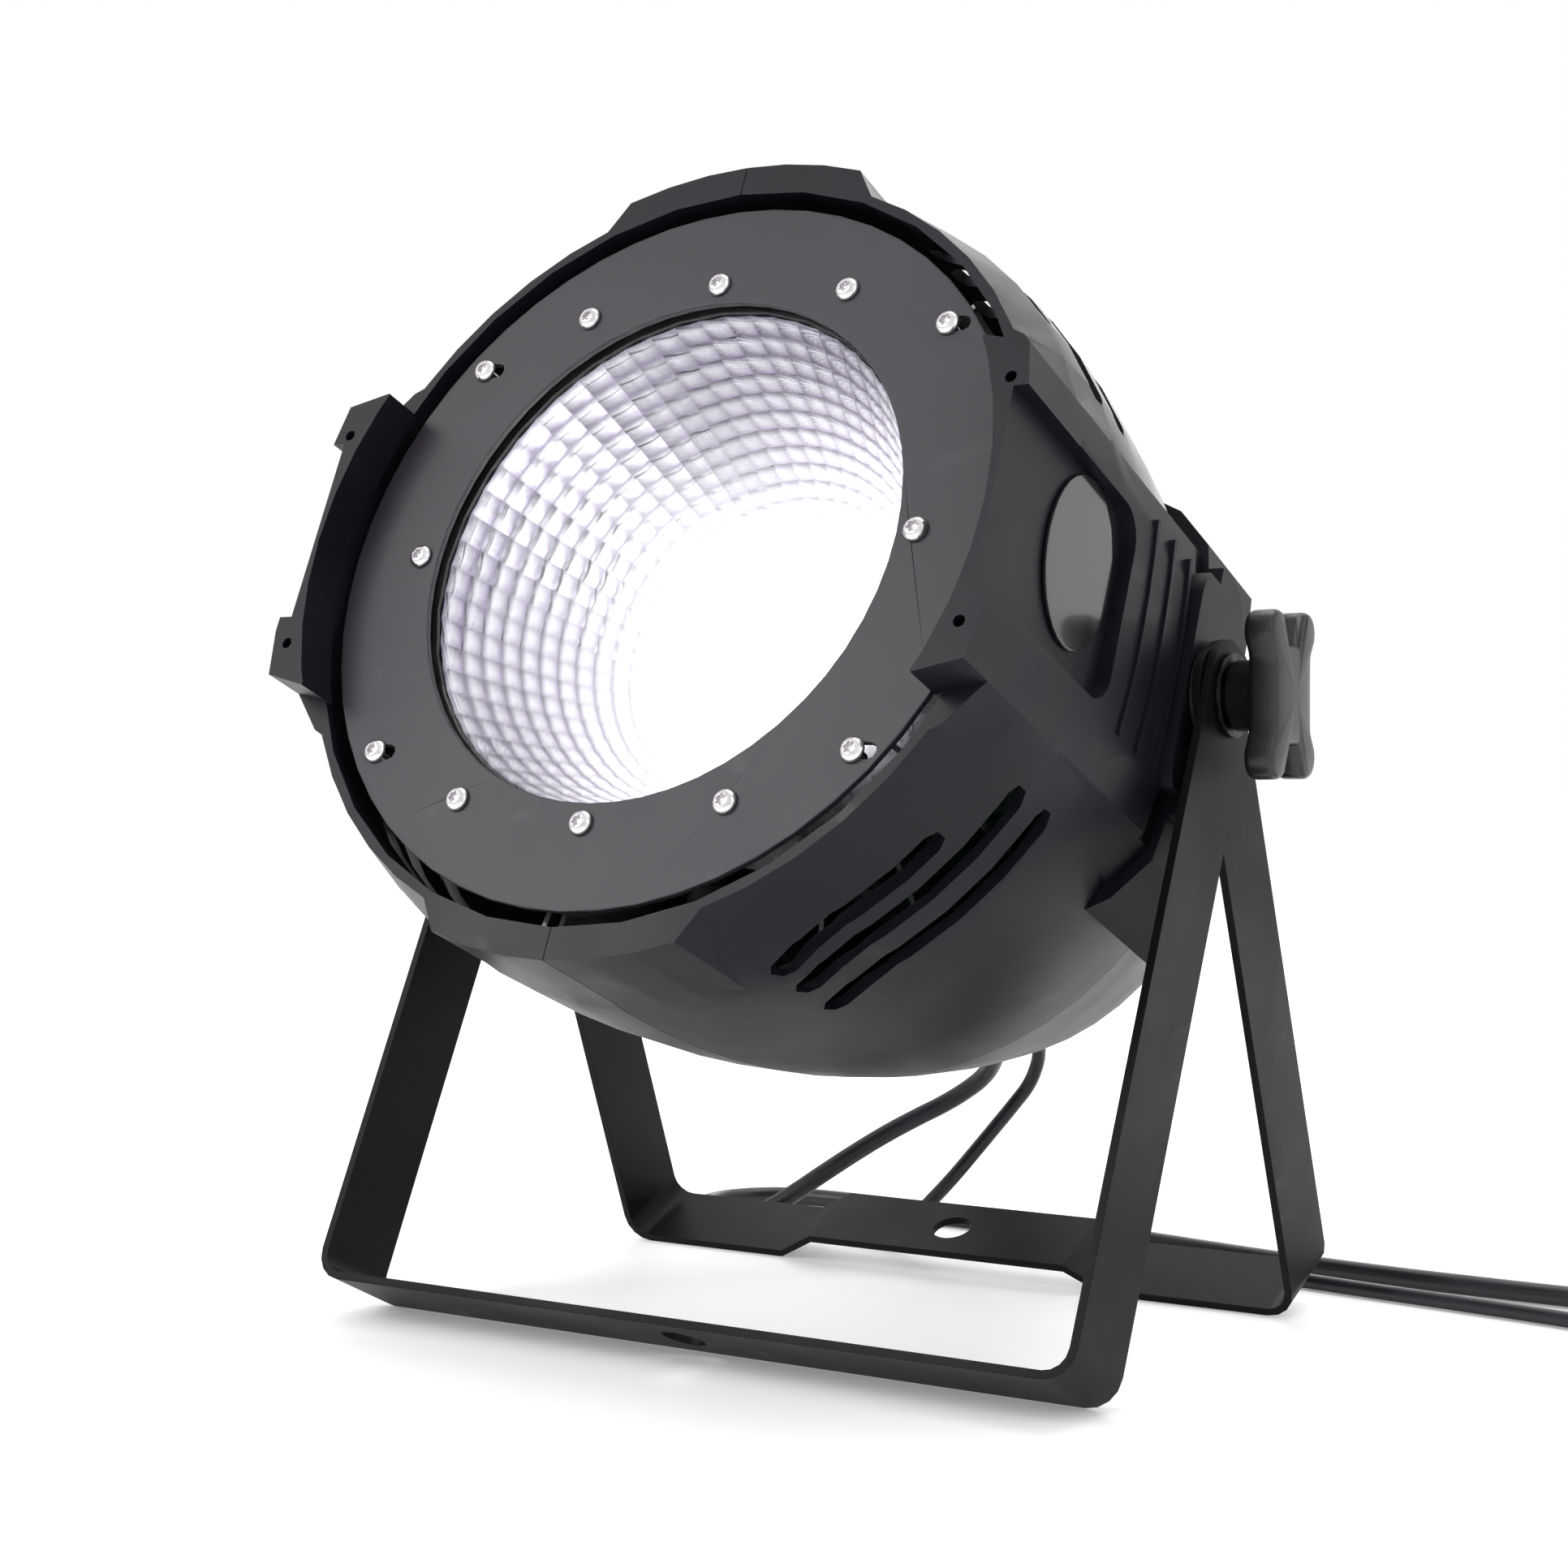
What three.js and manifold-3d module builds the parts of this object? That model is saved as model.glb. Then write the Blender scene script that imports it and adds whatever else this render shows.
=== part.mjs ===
// LED par can on a double yoke, standing on the floor with its head tilted up.
// Millimetres, +Z up, +X to the lamp's left-hand knob side, the lamp looks towards -Y.
// Origin: on the floor, straight below the pivot axis.

import * as THREE from "three";
import * as BufferGeometryUtils from "three/addons/utils/BufferGeometryUtils.js";
import Module from "manifold-3d";

const wasm = await Module();
wasm.setup();

// ---------------------------------------------------------------- driving dimensions

const GAP = 0.3; // kept between pieces that touch
const DEG = Math.PI / 180;

const TILT = 23.4 * DEG; // head tilt above level
const AXIS_DROP = 2.9; // lamp axis below the pivot axis

const YOKE_WIDTH = 29.4;
const YOKE_THICK = 2.4;
const YOKE_BEND = 9; // outer bend radius
const YOKE_HEAD = 15; // leg length above the pivot
const FRONT_REACH = 200.2; // pivot axis to the underside of the bottom bar
const FRONT_SWING = -26 * DEG;
const FRONT_HALF_SPAN = 126.5; // to the outer face of a leg
const REAR_SWING = 21.4 * DEG;
const REAR_HALF_SPAN = 123.6;
const JOGGLE_RISE = 7; // raised middle of the rear bottom bar
const JOGGLE_HALF = 47;
const JOGGLE_RAMP = 13;
const CLAMP_HOLE = 6.5; // radius of the hole in each bottom bar

const PLATE_FACE = 110; // front face of the plate, ahead of the pivot
const PLATE_R = 107.5;
const PLATE_THICK = 2;
const APERTURE_R = 76.7;
const AXIAL_SCREW_R = 82.7; // screws at 0, 90, 180 and 270 degrees
const DIAGONAL_SCREW_R = 88; // screws 60 degrees either side of level
const SLOT_SCREW_R = 100; // screws in slots, SLOT_SCREW_ANGLE from level
const SLOT_SCREW_ANGLE = 38.2;

const RIM_FACE = 111.5;
const RIM_INNER = 112.5;
const LUG_OUTER = 121.5;
const BOWL_R = 122; // widest radius of the bowl
const BOWL_WAIST = 75; // where it is widest
const SHELL_END = -49; // seam to the rear cover
const BACK_FACE = -116;
const WALL = 2.6;

const PAD_X = 116; // flat of each side pad
const PAD_FRONT = 125;
const PAD_INNER_R = 110;
const PAD_CAVITY_X = 108.8;
const PAD_OFFSET = 2.9; // the pad's details are level with the pivot
const RECESS_HALF = 28.5;
const RECESS_END = 53;
const RECESS_X = 111.5;
const BADGE_AT = [76, 6.6]; // ahead of the pivot, above the lamp axis
const BADGE_RADII = [19, 24.2];

const BOSS_X = 119.6;
const BOSS_HALF = 15;
const STUD_R = 4;

const LEAD_R = 3.2; // mains lead
const SIGNAL_R = 2.4; // signal lead
const MAINS_GLAND = 24; // how far each gland stands out of the back
const SIGNAL_GLAND = 20;

// ---------------------------------------------------------------- materials

const PAINT = { color: 0x1b1b1e, roughness: 0.55, metalness: 0.3 };
const SATIN = { color: 0x161618, roughness: 0.45, metalness: 0.3 };
const PLASTIC = { color: 0x0f0f10, roughness: 0.4, metalness: 0 };
const RUBBER = { color: 0x0c0c0c, roughness: 0.85, metalness: 0 };
const STEEL = { color: 0xb9bbbf, roughness: 0.3, metalness: 1 };
const ALUMINIUM = { color: 0xc9cbce, roughness: 0.4, metalness: 1 };
const MIRROR = { color: 0xf0f2f5, roughness: 0.08, metalness: 1 };
const GLASS = { color: 0xdfe8ee, roughness: 0.05, metalness: 0 };
const GLOSS = { color: 0x08080a, roughness: 0.1, metalness: 0 };
const BOARD = { color: 0x1d5a34, roughness: 0.6, metalness: 0 };
const GLOW = { color: 0xfff6dd, roughness: 0.5, metalness: 0 };

// ---------------------------------------------------------------- helpers

const group = new THREE.Group();

function add(name, geometry, look) {
  const mesh = new THREE.Mesh(geometry, new THREE.MeshStandardMaterial(look));
  mesh.name = name;
  group.add(mesh);
}

function signedVolume(geometry) {
  const plain = geometry.index ? geometry.toNonIndexed() : geometry;
  const p = plain.attributes.position;
  const [a, b, c] = [new THREE.Vector3(), new THREE.Vector3(), new THREE.Vector3()];
  let sum = 0;
  for (let i = 0; i < p.count; i += 3) {
    a.fromBufferAttribute(p, i);
    b.fromBufferAttribute(p, i + 1);
    c.fromBufferAttribute(p, i + 2);
    sum += a.dot(b.cross(c));
  }
  return sum / 6;
}

// A closed, welded geometry with its faces turned outwards.
function closed(geometry) {
  const bare = geometry.clone();
  bare.deleteAttribute("normal");
  bare.deleteAttribute("uv");
  const welded = BufferGeometryUtils.mergeVertices(bare, 1e-3);
  const index = welded.index.array;
  const kept = [];
  for (let i = 0; i < index.length; i += 3) {
    const [a, b, c] = [index[i], index[i + 1], index[i + 2]];
    if (a !== b && b !== c && c !== a) kept.push(a, b, c);
  }
  if (signedVolume(welded) < 0) kept.reverse();
  welded.setIndex(kept);
  return welded;
}

function solid(geometry) {
  const g = closed(geometry);
  return new wasm.Manifold(
    new wasm.Mesh({
      numProp: 3,
      vertProperties: Float32Array.from(g.attributes.position.array),
      triVerts: Uint32Array.from(g.index.array),
    }),
  );
}

function geometryOf(manifold) {
  const mesh = manifold.getMesh();
  const g = new THREE.BufferGeometry();
  g.setAttribute("position", new THREE.BufferAttribute(Float32Array.from(mesh.vertProperties), 3));
  g.setIndex(Array.from(mesh.triVerts));
  g.computeVertexNormals();
  return g;
}

const union = (parts) => parts.reduce((sum, part) => sum.add(part));
const cut = (body, tools) => tools.reduce((left, tool) => left.subtract(tool), body);

// Head frame: x across, "ahead" towards the beam, "up" at right angles to both, from the pivot.
const headMatrix = new THREE.Matrix4()
  .makeTranslation(0, 0, pivotHeight())
  .multiply(new THREE.Matrix4().makeRotationX(-TILT));

function pivotHeight() {
  const lean = Math.abs(FRONT_SWING);
  return FRONT_REACH * Math.cos(lean) + (YOKE_WIDTH / 2) * Math.sin(lean);
}

function inHead(geometry) {
  return geometry.clone().applyMatrix4(headMatrix);
}

function addHead(name, geometry, look) {
  add(name, inHead(closed(geometry)), look);
}

// Solid of revolution about the lamp axis from [ahead, radius] points.
function turned(points, segments = 64) {
  const profile = points.map(([ahead, radius]) => new THREE.Vector2(radius, -ahead));
  return new THREE.LatheGeometry(profile, segments).translate(0, 0, -AXIS_DROP);
}

// A ring of revolution, closed on itself.
function turnedRing(points, segments = 64) {
  return turned([...points, points[0]], segments);
}

// Prism along the lamp axis: shape in (x, up) from the lamp axis, between two stations.
function alongAxis(shape, from, to, curveSegments = 24) {
  const g = new THREE.ExtrudeGeometry(shape, { depth: to - from, bevelEnabled: false, curveSegments });
  return g.rotateX(Math.PI / 2).translate(0, -from, -AXIS_DROP);
}

// Prism across the head: shape in (ahead, up) from the lamp axis, between two x stations.
function across(shape, from, to, curveSegments = 12) {
  const g = new THREE.ExtrudeGeometry(shape, { depth: to - from, bevelEnabled: false, curveSegments });
  const toHead = new THREE.Matrix4().makeBasis(
    new THREE.Vector3(0, -1, 0),
    new THREE.Vector3(0, 0, 1),
    new THREE.Vector3(-1, 0, 0),
  );
  return g.applyMatrix4(toHead).translate(to, 0, -AXIS_DROP);
}

function polygon(points) {
  return new THREE.Shape(points.map(([x, y]) => new THREE.Vector2(x, y)));
}

function rectangle(x0, y0, x1, y1) {
  return polygon([[x0, y0], [x1, y0], [x1, y1], [x0, y1]]);
}

function disc(radius, x = 0, y = 0) {
  return new THREE.Shape().absarc(x, y, radius, 0, 2 * Math.PI);
}

function roundedRectangle(x0, y0, x1, y1, r) {
  return new THREE.Shape()
    .absarc(x1 - r, y0 + r, r, -Math.PI / 2, 0)
    .absarc(x1 - r, y1 - r, r, 0, Math.PI / 2)
    .absarc(x0 + r, y1 - r, r, Math.PI / 2, Math.PI)
    .absarc(x0 + r, y0 + r, r, Math.PI, 1.5 * Math.PI);
}

// A band of even width along a centre line of [x, y] points, with round ends.
function band(centre, width, capSteps = 6) {
  const line = centre.map(([x, y]) => new THREE.Vector2(x, y));
  const directions = line.map((p, i) => {
    const before = line[Math.max(i - 1, 0)];
    const after = line[Math.min(i + 1, line.length - 1)];
    return after.clone().sub(before).normalize();
  });
  const half = width / 2;
  const side = (sign) =>
    line.map((p, i) => {
      const normal = new THREE.Vector2(-directions[i].y, directions[i].x);
      return normal.multiplyScalar(sign * half).add(p);
    });
  const cap = (at, direction) => {
    const start = Math.atan2(direction.y, direction.x) + Math.PI / 2;
    const points = [];
    for (let k = 1; k < capSteps; k += 1) {
      const a = start - (Math.PI * k) / capSteps;
      points.push(new THREE.Vector2(at.x + half * Math.cos(a), at.y + half * Math.sin(a)));
    }
    return points;
  };
  const last = line.length - 1;
  return new THREE.Shape([
    ...side(1),
    ...cap(line[last], directions[last]),
    ...side(-1).reverse(),
    ...cap(line[0], directions[0].clone().negate()),
  ]);
}

function annulusSector(inner, outer, from, to) {
  return new THREE.Shape().absarc(0, 0, outer, from, to, false).absarc(0, 0, inner, to, from, true);
}

function cylinderX(radius, x0, x1, segments = 24) {
  return new THREE.CylinderGeometry(radius, radius, x1 - x0, segments)
    .rotateZ(Math.PI / 2)
    .translate((x0 + x1) / 2, 0, 0);
}

const mirrorX = (geometry) => geometry.clone().scale(-1, 1, 1);
const SIDES = [["right", 1], ["left", -1]];
const onSide = (geometry, sign) => (sign > 0 ? geometry : mirrorX(geometry));

// ---------------------------------------------------------------- housing

// Outer radius of the bowl at a station along the lamp axis.
function bowlRadius(ahead) {
  const fall = ahead < BOWL_WAIST ? 0.00128 : 0.0053;
  return BOWL_R - fall * (ahead - BOWL_WAIST) ** 2;
}

function stations(from, to, count) {
  return Array.from({ length: count + 1 }, (_, i) => from + ((to - from) * i) / count);
}

function bowlProfile(from, to, count, inset) {
  return stations(from, to, count).map((ahead) => [ahead, bowlRadius(ahead) - inset]);
}

// The bowl is cut flat on both sides, level with the pads.
function bowlSolid() {
  const skin = bowlProfile(RIM_FACE, SHELL_END, 8, 0);
  const round = solid(turned([[RIM_FACE, 0], ...skin, [SHELL_END, 0]], 48));
  const flats = rectangle(-PAD_X, -BOWL_R - 1, PAD_X, BOWL_R + 1);
  return round.intersect(solid(alongAxis(flats, SHELL_END - 1, RIM_FACE + 1)));
}

function bowlCavity() {
  const skin = bowlProfile(RIM_FACE, SHELL_END, 4, WALL);
  const round = solid(turned([[PAD_FRONT, 0], [PAD_FRONT, RIM_INNER], ...skin, [SHELL_END - 1, 0]], 32));
  const between = rectangle(-PAD_CAVITY_X, -BOWL_R, PAD_CAVITY_X, BOWL_R);
  const flats = solid(alongAxis(between, SHELL_END - 2, RIM_FACE));
  const front = PAD_FRONT + 1;
  const mouth = solid(turned([[front, 0], [front, PAD_INNER_R], [98, PAD_INNER_R], [98, 0]], 48));
  return round.intersect(flats).add(mouth);
}

// Lugs at the top and bottom of the rim, with slanted ends.
function rimLug(sign) {
  const inner = 25 * DEG;
  const outer = 19 * DEG;
  const point = (r, a) => [r * Math.sin(a), sign * r * Math.cos(a)];
  const arc = stations(-outer, outer, 6).map((a) => point(LUG_OUTER, a));
  const root = [point(RIM_INNER, inner), point(RIM_INNER - 4, 0), point(RIM_INNER, -inner)];
  const shape = polygon([...root, ...arc]);
  return solid(alongAxis(shape, BOWL_WAIST, RIM_FACE));
}

// Section of the side pad across the lamp axis: flat, soft corner, then a 45 degree bevel.
function padSection(halfHeight) {
  const root = 96;
  return [
    [root, -halfHeight - 15],
    [PAD_X - 13, -halfHeight - 11.5],
    [PAD_X - 2.5, -halfHeight],
    [PAD_X, -halfHeight + 14],
    [PAD_X, halfHeight - 14],
    [PAD_X - 2.5, halfHeight],
    [PAD_X - 13, halfHeight + 11.5],
    [root, halfHeight + 15],
  ];
}

function padNose() {
  const section = [
    [99.5, -47.5], [PAD_X - 2.5, -44], [PAD_X, -30], [PAD_X, 30], [PAD_X - 2.5, 44], [99.5, 47.5],
  ];
  return solid(alongAxis(polygon(section), RIM_FACE - 10, PAD_FRONT));
}

// The pad's flat runs back past the boss and slopes into the bowl before the seam.
function padBody() {
  const lower = solid(alongAxis(polygon(padSection(44)), SHELL_END, RIM_FACE));
  const shoulder = solid(alongAxis(polygon(padSection(49)), SHELL_END, 4.5));
  const flat = [[RIM_FACE, 90], [RIM_FACE, PAD_X + 1], [-26, PAD_X + 1]];
  const plan = polygon([...flat, [SHELL_END + 0.2, 100], [SHELL_END, 90]]);
  const keep = new THREE.ExtrudeGeometry(plan, { depth: 200, bevelEnabled: false });
  const toPlan = new THREE.Matrix4().makeBasis(
    new THREE.Vector3(0, -1, 0),
    new THREE.Vector3(1, 0, 0),
    new THREE.Vector3(0, 0, 1),
  );
  keep.applyMatrix4(toPlan).translate(0, 0, -100);
  return lower.add(shoulder).intersect(solid(keep));
}

function bossBlock() {
  const arch = new THREE.Shape();
  arch.absarc(0, 24, BOSS_HALF, 0, Math.PI);
  arch.absarc(0, -24, BOSS_HALF, Math.PI, 2 * Math.PI);
  return solid(across(arch, PAD_CAVITY_X + 1, BOSS_X).translate(0, 0, PAD_OFFSET));
}

// Three raised ribs between the recess and the boss, bowed towards the back.
function padRibs() {
  const half = 31.5;
  const bow = 3;
  return [43.5, 31.5, 20].map((ahead) => {
    const line = stations(-half, half, 6).map((up) => [ahead - bow * (1 - (up / half) ** 2), up]);
    return solid(across(band(line, 1.8, 3), PAD_X - 1, PAD_X + 0.9).translate(0, 0, PAD_OFFSET + 1));
  });
}

function padCuts() {
  const recess = roundedRectangle(RECESS_END, -RECESS_HALF, PAD_FRONT + 30, RECESS_HALF, 10);
  const notch = (sign) => rectangle(4.5, sign > 0 ? 33 : -60, 12.5, sign > 0 ? 60 : -33);
  const holes = [-1, 1].map((sign) => {
    const angle = sign * 17.2 * DEG;
    const shape = disc(1.75, 115.3 * Math.cos(angle), 115.3 * Math.sin(angle));
    return solid(alongAxis(shape, PAD_FRONT - 6, PAD_FRONT + 1, 4));
  });
  return [
    solid(across(recess, RECESS_X, PAD_X + 5, 4).translate(0, 0, PAD_OFFSET)),
    ...[1, -1].map((sign) => solid(across(notch(sign), PAD_X - 4, PAD_X + 9).translate(0, 0, PAD_OFFSET))),
    solid(cylinderX(STUD_R + GAP, PAD_CAVITY_X - 5, BOSS_X + 5, 16)),
    ...holes,
  ];
}

// Curved ventilation slots, cut square to the bowl at the middle of each quadrant.
function ventSlots(upSign) {
  const middle = 47 * DEG;
  const rows = [[84.5, -15], [71.5, -37], [55.5, -37]];
  return rows.map(([ahead, start]) => {
    const line = [[start, 2], [16, 2], [28, -1], [37, -6]];
    const shape = band(line.map(([s, rise]) => [s, ahead + rise]), 7.5, 3);
    const g = new THREE.ExtrudeGeometry(shape, { depth: 40, bevelEnabled: false });
    const outwards = new THREE.Vector3(Math.cos(middle), 0, upSign * Math.sin(middle));
    const along = new THREE.Vector3(-Math.sin(middle), 0, upSign * Math.cos(middle));
    g.applyMatrix4(new THREE.Matrix4().makeBasis(along, new THREE.Vector3(0, -1, 0), outwards));
    return solid(g.translate(outwards.x * 95, 0, outwards.z * 95 - AXIS_DROP));
  });
}

function halfHousing() {
  const details = union([padBody(), padNose(), bossBlock(), ...padRibs()]);
  const shell = union([bowlSolid(), rimLug(1), rimLug(-1), details]);
  const seamSide = solid(new THREE.BoxGeometry(300, 500, 500).translate(-150 + GAP / 2, 0, 0));
  const body = cut(shell, [bowlCavity(), seamSide, ...padCuts(), ...ventSlots(1), ...ventSlots(-1)]);
  return geometryOf(body);
}

function addHousing() {
  const half = halfHousing();
  SIDES.forEach(([side, sign]) => addHead(`housing_${side}`, onSide(half, sign), PAINT));
}

// ---------------------------------------------------------------- rear cover and its fittings

const FAN_UP = 22;
const FAN_R = 36;
const PANEL_UP = -24;
const BUTTON_UP = -42;
const BUTTON_XS = [-24, -8, 8, 24];
const MAINS_AT = [-10, -58];
const SIGNAL_AT = [8, -55];
const REAR_SCREWS = [35, 145, 215, 325].map((a) => [64 * Math.cos(a * DEG), 64 * Math.sin(a * DEG)]);
const COVER_THICK = 3;

function grilleSlots() {
  const rings = [10, 19, 28];
  const thirds = [30, 150, 270];
  return rings.flatMap((r) =>
    thirds.map((start) => {
      const shape = annulusSector(r, r + 5.5, (start + 8) * DEG, (start + 112) * DEG);
      return solid(alongAxis(shape, BACK_FACE - 5, BACK_FACE + COVER_THICK + 5, 2).translate(0, 0, FAN_UP));
    }),
  );
}

function backHoles() {
  const through = (shape, steps) =>
    solid(alongAxis(shape, BACK_FACE - 5, BACK_FACE + COVER_THICK + 5, steps));
  return [
    through(roundedRectangle(-21, PANEL_UP - 8, 21, PANEL_UP + 8, 2), 1),
    ...BUTTON_XS.map((x) => through(disc(3.8, x, BUTTON_UP), 6)),
    through(disc(7.3, ...MAINS_AT), 6),
    through(disc(5.9, ...SIGNAL_AT), 6),
    ...REAR_SCREWS.map(([x, up]) => through(disc(2, x, up), 3)),
  ];
}

function addRearCover() {
  const front = SHELL_END - GAP;
  const edge = 4;
  const floor = BACK_FACE + COVER_THICK;
  const outer = bowlProfile(front, BACK_FACE + edge, 4, 0);
  const inner = bowlProfile(floor, front, 3, WALL);
  const back = [[BACK_FACE, bowlRadius(BACK_FACE) - edge], [BACK_FACE, 0], [floor, 0]];
  const shell = solid(turned([...outer, ...back, ...inner, outer[0]], 48));
  addHead("rear_cover", geometryOf(cut(shell, [...grilleSlots(), ...backHoles()])), PAINT);
  REAR_SCREWS.forEach(([x, up], i) => addHead(`cover_screw_${i + 1}`, panScrew(BACK_FACE, x, up, -1), STEEL));
}

// Pan-head screw on the lamp's front (sign 1) or back (sign -1), its head just off the face.
function panScrew(face, x, up, sign) {
  const headR = 3.6;
  const shank = 1.55;
  const rise = 2.3;
  const depth = 7;
  const at = (h) => face + sign * h;
  const profile = [
    [at(-depth), 0], [at(-depth), shank], [at(GAP), shank], [at(GAP), headR],
    [at(GAP + rise), headR * 0.7], [at(GAP + rise), 0],
  ];
  return turned(profile, 8).translate(x, 0, up);
}

function addFan() {
  const back = BACK_FACE + COVER_THICK + GAP;
  const depth = 20;
  const side = FAN_R + 1;
  const frame = cut(solid(alongAxis(roundedRectangle(-side, -side, side, side, 5), back, back + depth, 1)), [
    solid(alongAxis(disc(FAN_R - 2), back - 1, back + depth + 1, 12)),
  ]);
  const spokes = [0, 90, 180, 270].map((a) =>
    solid(alongAxis(rectangle(10, -1.5, FAN_R - 1, 1.5), back + depth - 2, back + depth).rotateY(a * DEG)),
  );
  const hubPlate = solid(alongAxis(disc(13), back + depth - 2, back + depth, 8));
  addHead("fan_frame", geometryOf(union([frame, hubPlate, ...spokes])).translate(0, 0, FAN_UP), PLASTIC);

  const hub = solid(alongAxis(disc(12.5), back + 1, back + depth - 3, 8));
  const blade = (k) => {
    const g = new THREE.BoxGeometry(FAN_R - 13, 1.6, 12).translate((FAN_R + 7) / 2, 0, 0).rotateX(35 * DEG);
    g.rotateX(-Math.PI / 2).rotateY((k * 360 * DEG) / 7);
    return solid(g.translate(0, -(back + depth / 2 - 1), -AXIS_DROP));
  };
  const blades = stations(0, 6, 6).map(blade);
  addHead("fan_rotor", geometryOf(union([hub, ...blades])).translate(0, 0, FAN_UP), PLASTIC);
}

function addControls() {
  const face = BACK_FACE + 1;
  const window = roundedRectangle(-20.7, PANEL_UP - 7.7, 20.7, PANEL_UP + 7.7, 1.8);
  addHead("display_window", alongAxis(window, face - 0.4, face + 1.6, 1), GLOSS);
  BUTTON_XS.forEach((x, i) => {
    const profile = [[BACK_FACE - 1.6, 0], [BACK_FACE - 1.6, 2.9], [BACK_FACE - 1.1, 3.3],
      [BACK_FACE + COVER_THICK + 1, 3.3], [BACK_FACE + COVER_THICK + 1, 0]];
    addHead(`menu_button_${i + 1}`, turned(profile, 12).translate(x, 0, BUTTON_UP), PLASTIC);
  });
  const board = rectangle(-30, BUTTON_UP - 6, 30, PANEL_UP + 8.5);
  const boardAt = BACK_FACE + COVER_THICK + 3;
  addHead("control_board", alongAxis(board, boardAt, boardAt + 1.6), BOARD);
  const supply = [
    solid(alongAxis(rectangle(-38, -42, 38, 40), -84, -82)),
    solid(alongAxis(rectangle(-30, 10, -2, 34), -82.5, -66)),
    solid(alongAxis(rectangle(6, -34, 32, -8), -82.5, -62)),
    solid(alongAxis(disc(8, -18, -16), -82.5, -58, 5)),
  ];
  addHead("power_board", geometryOf(union(supply)), BOARD);
}

// Cable gland: flange on the back face, then a ribbed taper that the lead leaves.
function addGland(name, [x, up], bore, length) {
  const inside = BACK_FACE + COVER_THICK + 4;
  const flange = bore + 6;
  const neck = [[inside, 0], [inside, bore + 3.2], [BACK_FACE - GAP, bore + 3.2]];
  const collar = [[BACK_FACE - GAP, flange], [BACK_FACE - 4, flange], [BACK_FACE - 4.6, bore + 3.4]];
  const tip = [[BACK_FACE - length, bore + 1.3], [BACK_FACE - length, 0]];
  addHead(name, turned([...neck, ...collar, ...tip], 12).translate(x, 0, up), RUBBER);
}

// ---------------------------------------------------------------- optics

function screwPlaces() {
  const polar = (r, degrees) => [r * Math.cos(degrees * DEG), r * Math.sin(degrees * DEG)];
  const fixed = [
    ...[0, 90, 180, 270].map((a) => polar(AXIAL_SCREW_R, a)),
    ...[60, 120, 240, 300].map((a) => polar(DIAGONAL_SCREW_R, a)),
  ];
  const sides = [SLOT_SCREW_ANGLE, 180 - SLOT_SCREW_ANGLE];
  const slotted = [1, -1].flatMap((s) => sides.map((a) => polar(SLOT_SCREW_R, s * a)));
  return { fixed, slotted };
}

function addFrontPlate() {
  const { fixed, slotted } = screwPlaces();
  const shape = disc(PLATE_R);
  const hole = (x, up, r) => new THREE.Path().absarc(x, up, r, 0, 2 * Math.PI);
  shape.holes.push(hole(0, 0, APERTURE_R));
  const body = solid(alongAxis(shape, PLATE_FACE - PLATE_THICK, PLATE_FACE, 28));
  const pin = (s, steps) => solid(alongAxis(s, PLATE_FACE - PLATE_THICK - 1, PLATE_FACE + 1, steps));
  const round = fixed.map(([x, up]) => pin(disc(1.9, x, up), 3));
  const slots = slotted.map(([x, up]) => pin(band([[x - 1.5, up], [x + 4.5, up]], 4.4, 4), 3));
  addHead("front_plate", geometryOf(cut(body, [...round, ...slots])), SATIN);
  fixed.forEach(([x, up], i) => addHead(`plate_screw_${i + 1}`, panScrew(PLATE_FACE, x, up, 1), STEEL));
  slotted.forEach(([x, up], i) => addHead(`adjust_screw_${i + 1}`, panScrew(PLATE_FACE, x, up, 1), STEEL));
}

function addOptics() {
  const glassFace = PLATE_FACE - PLATE_THICK - GAP;
  const glassR = 79.8;
  const glassBack = glassFace - 2;
  const glass = [[glassFace, 0], [glassFace, glassR], [glassBack, glassR], [glassBack, 0]];
  addHead("lens_glass", turned(glass, 40), GLASS);
  const seat = glassBack - GAP;
  const gasketBack = seat - 1.2;
  const gasket = [[seat, 76.4], [seat, glassR], [gasketBack, glassR], [gasketBack, 76.4]];
  addHead("lens_gasket", turnedRing(gasket, 32), RUBBER);

  // Reflector: a parabola-like bowl with an even wall, wide at the glass.
  const mouth = gasketBack - GAP;
  const depth = 78;
  const throat = 20;
  const mouthR = 76;
  const wall = 1.2;
  const radiusAt = (t) => throat + (mouthR - throat) * Math.sqrt(t);
  const inside = stations(0, 1, 4).map((t) => [mouth - depth + depth * t, radiusAt(t)]);
  const outside = [...inside].reverse().map(([ahead, r]) => [ahead, r + wall]);
  addHead("reflector", turnedRing([...inside, ...outside], 32), MIRROR);

  const chipBack = mouth - depth - 4;
  const chip = [[chipBack + 2, 0], [chipBack + 2, 15], [chipBack, 15], [chipBack, 0]];
  addHead("cob_led", turned(chip, 16), GLOW);
  const holder = [[chipBack - GAP, 0], [chipBack - GAP, 24], [chipBack - 6, 24], [chipBack - 6, 0]];
  addHead("cob_holder", turned(holder, 16), ALUMINIUM);
  return chipBack - 6 - GAP;
}

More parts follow.
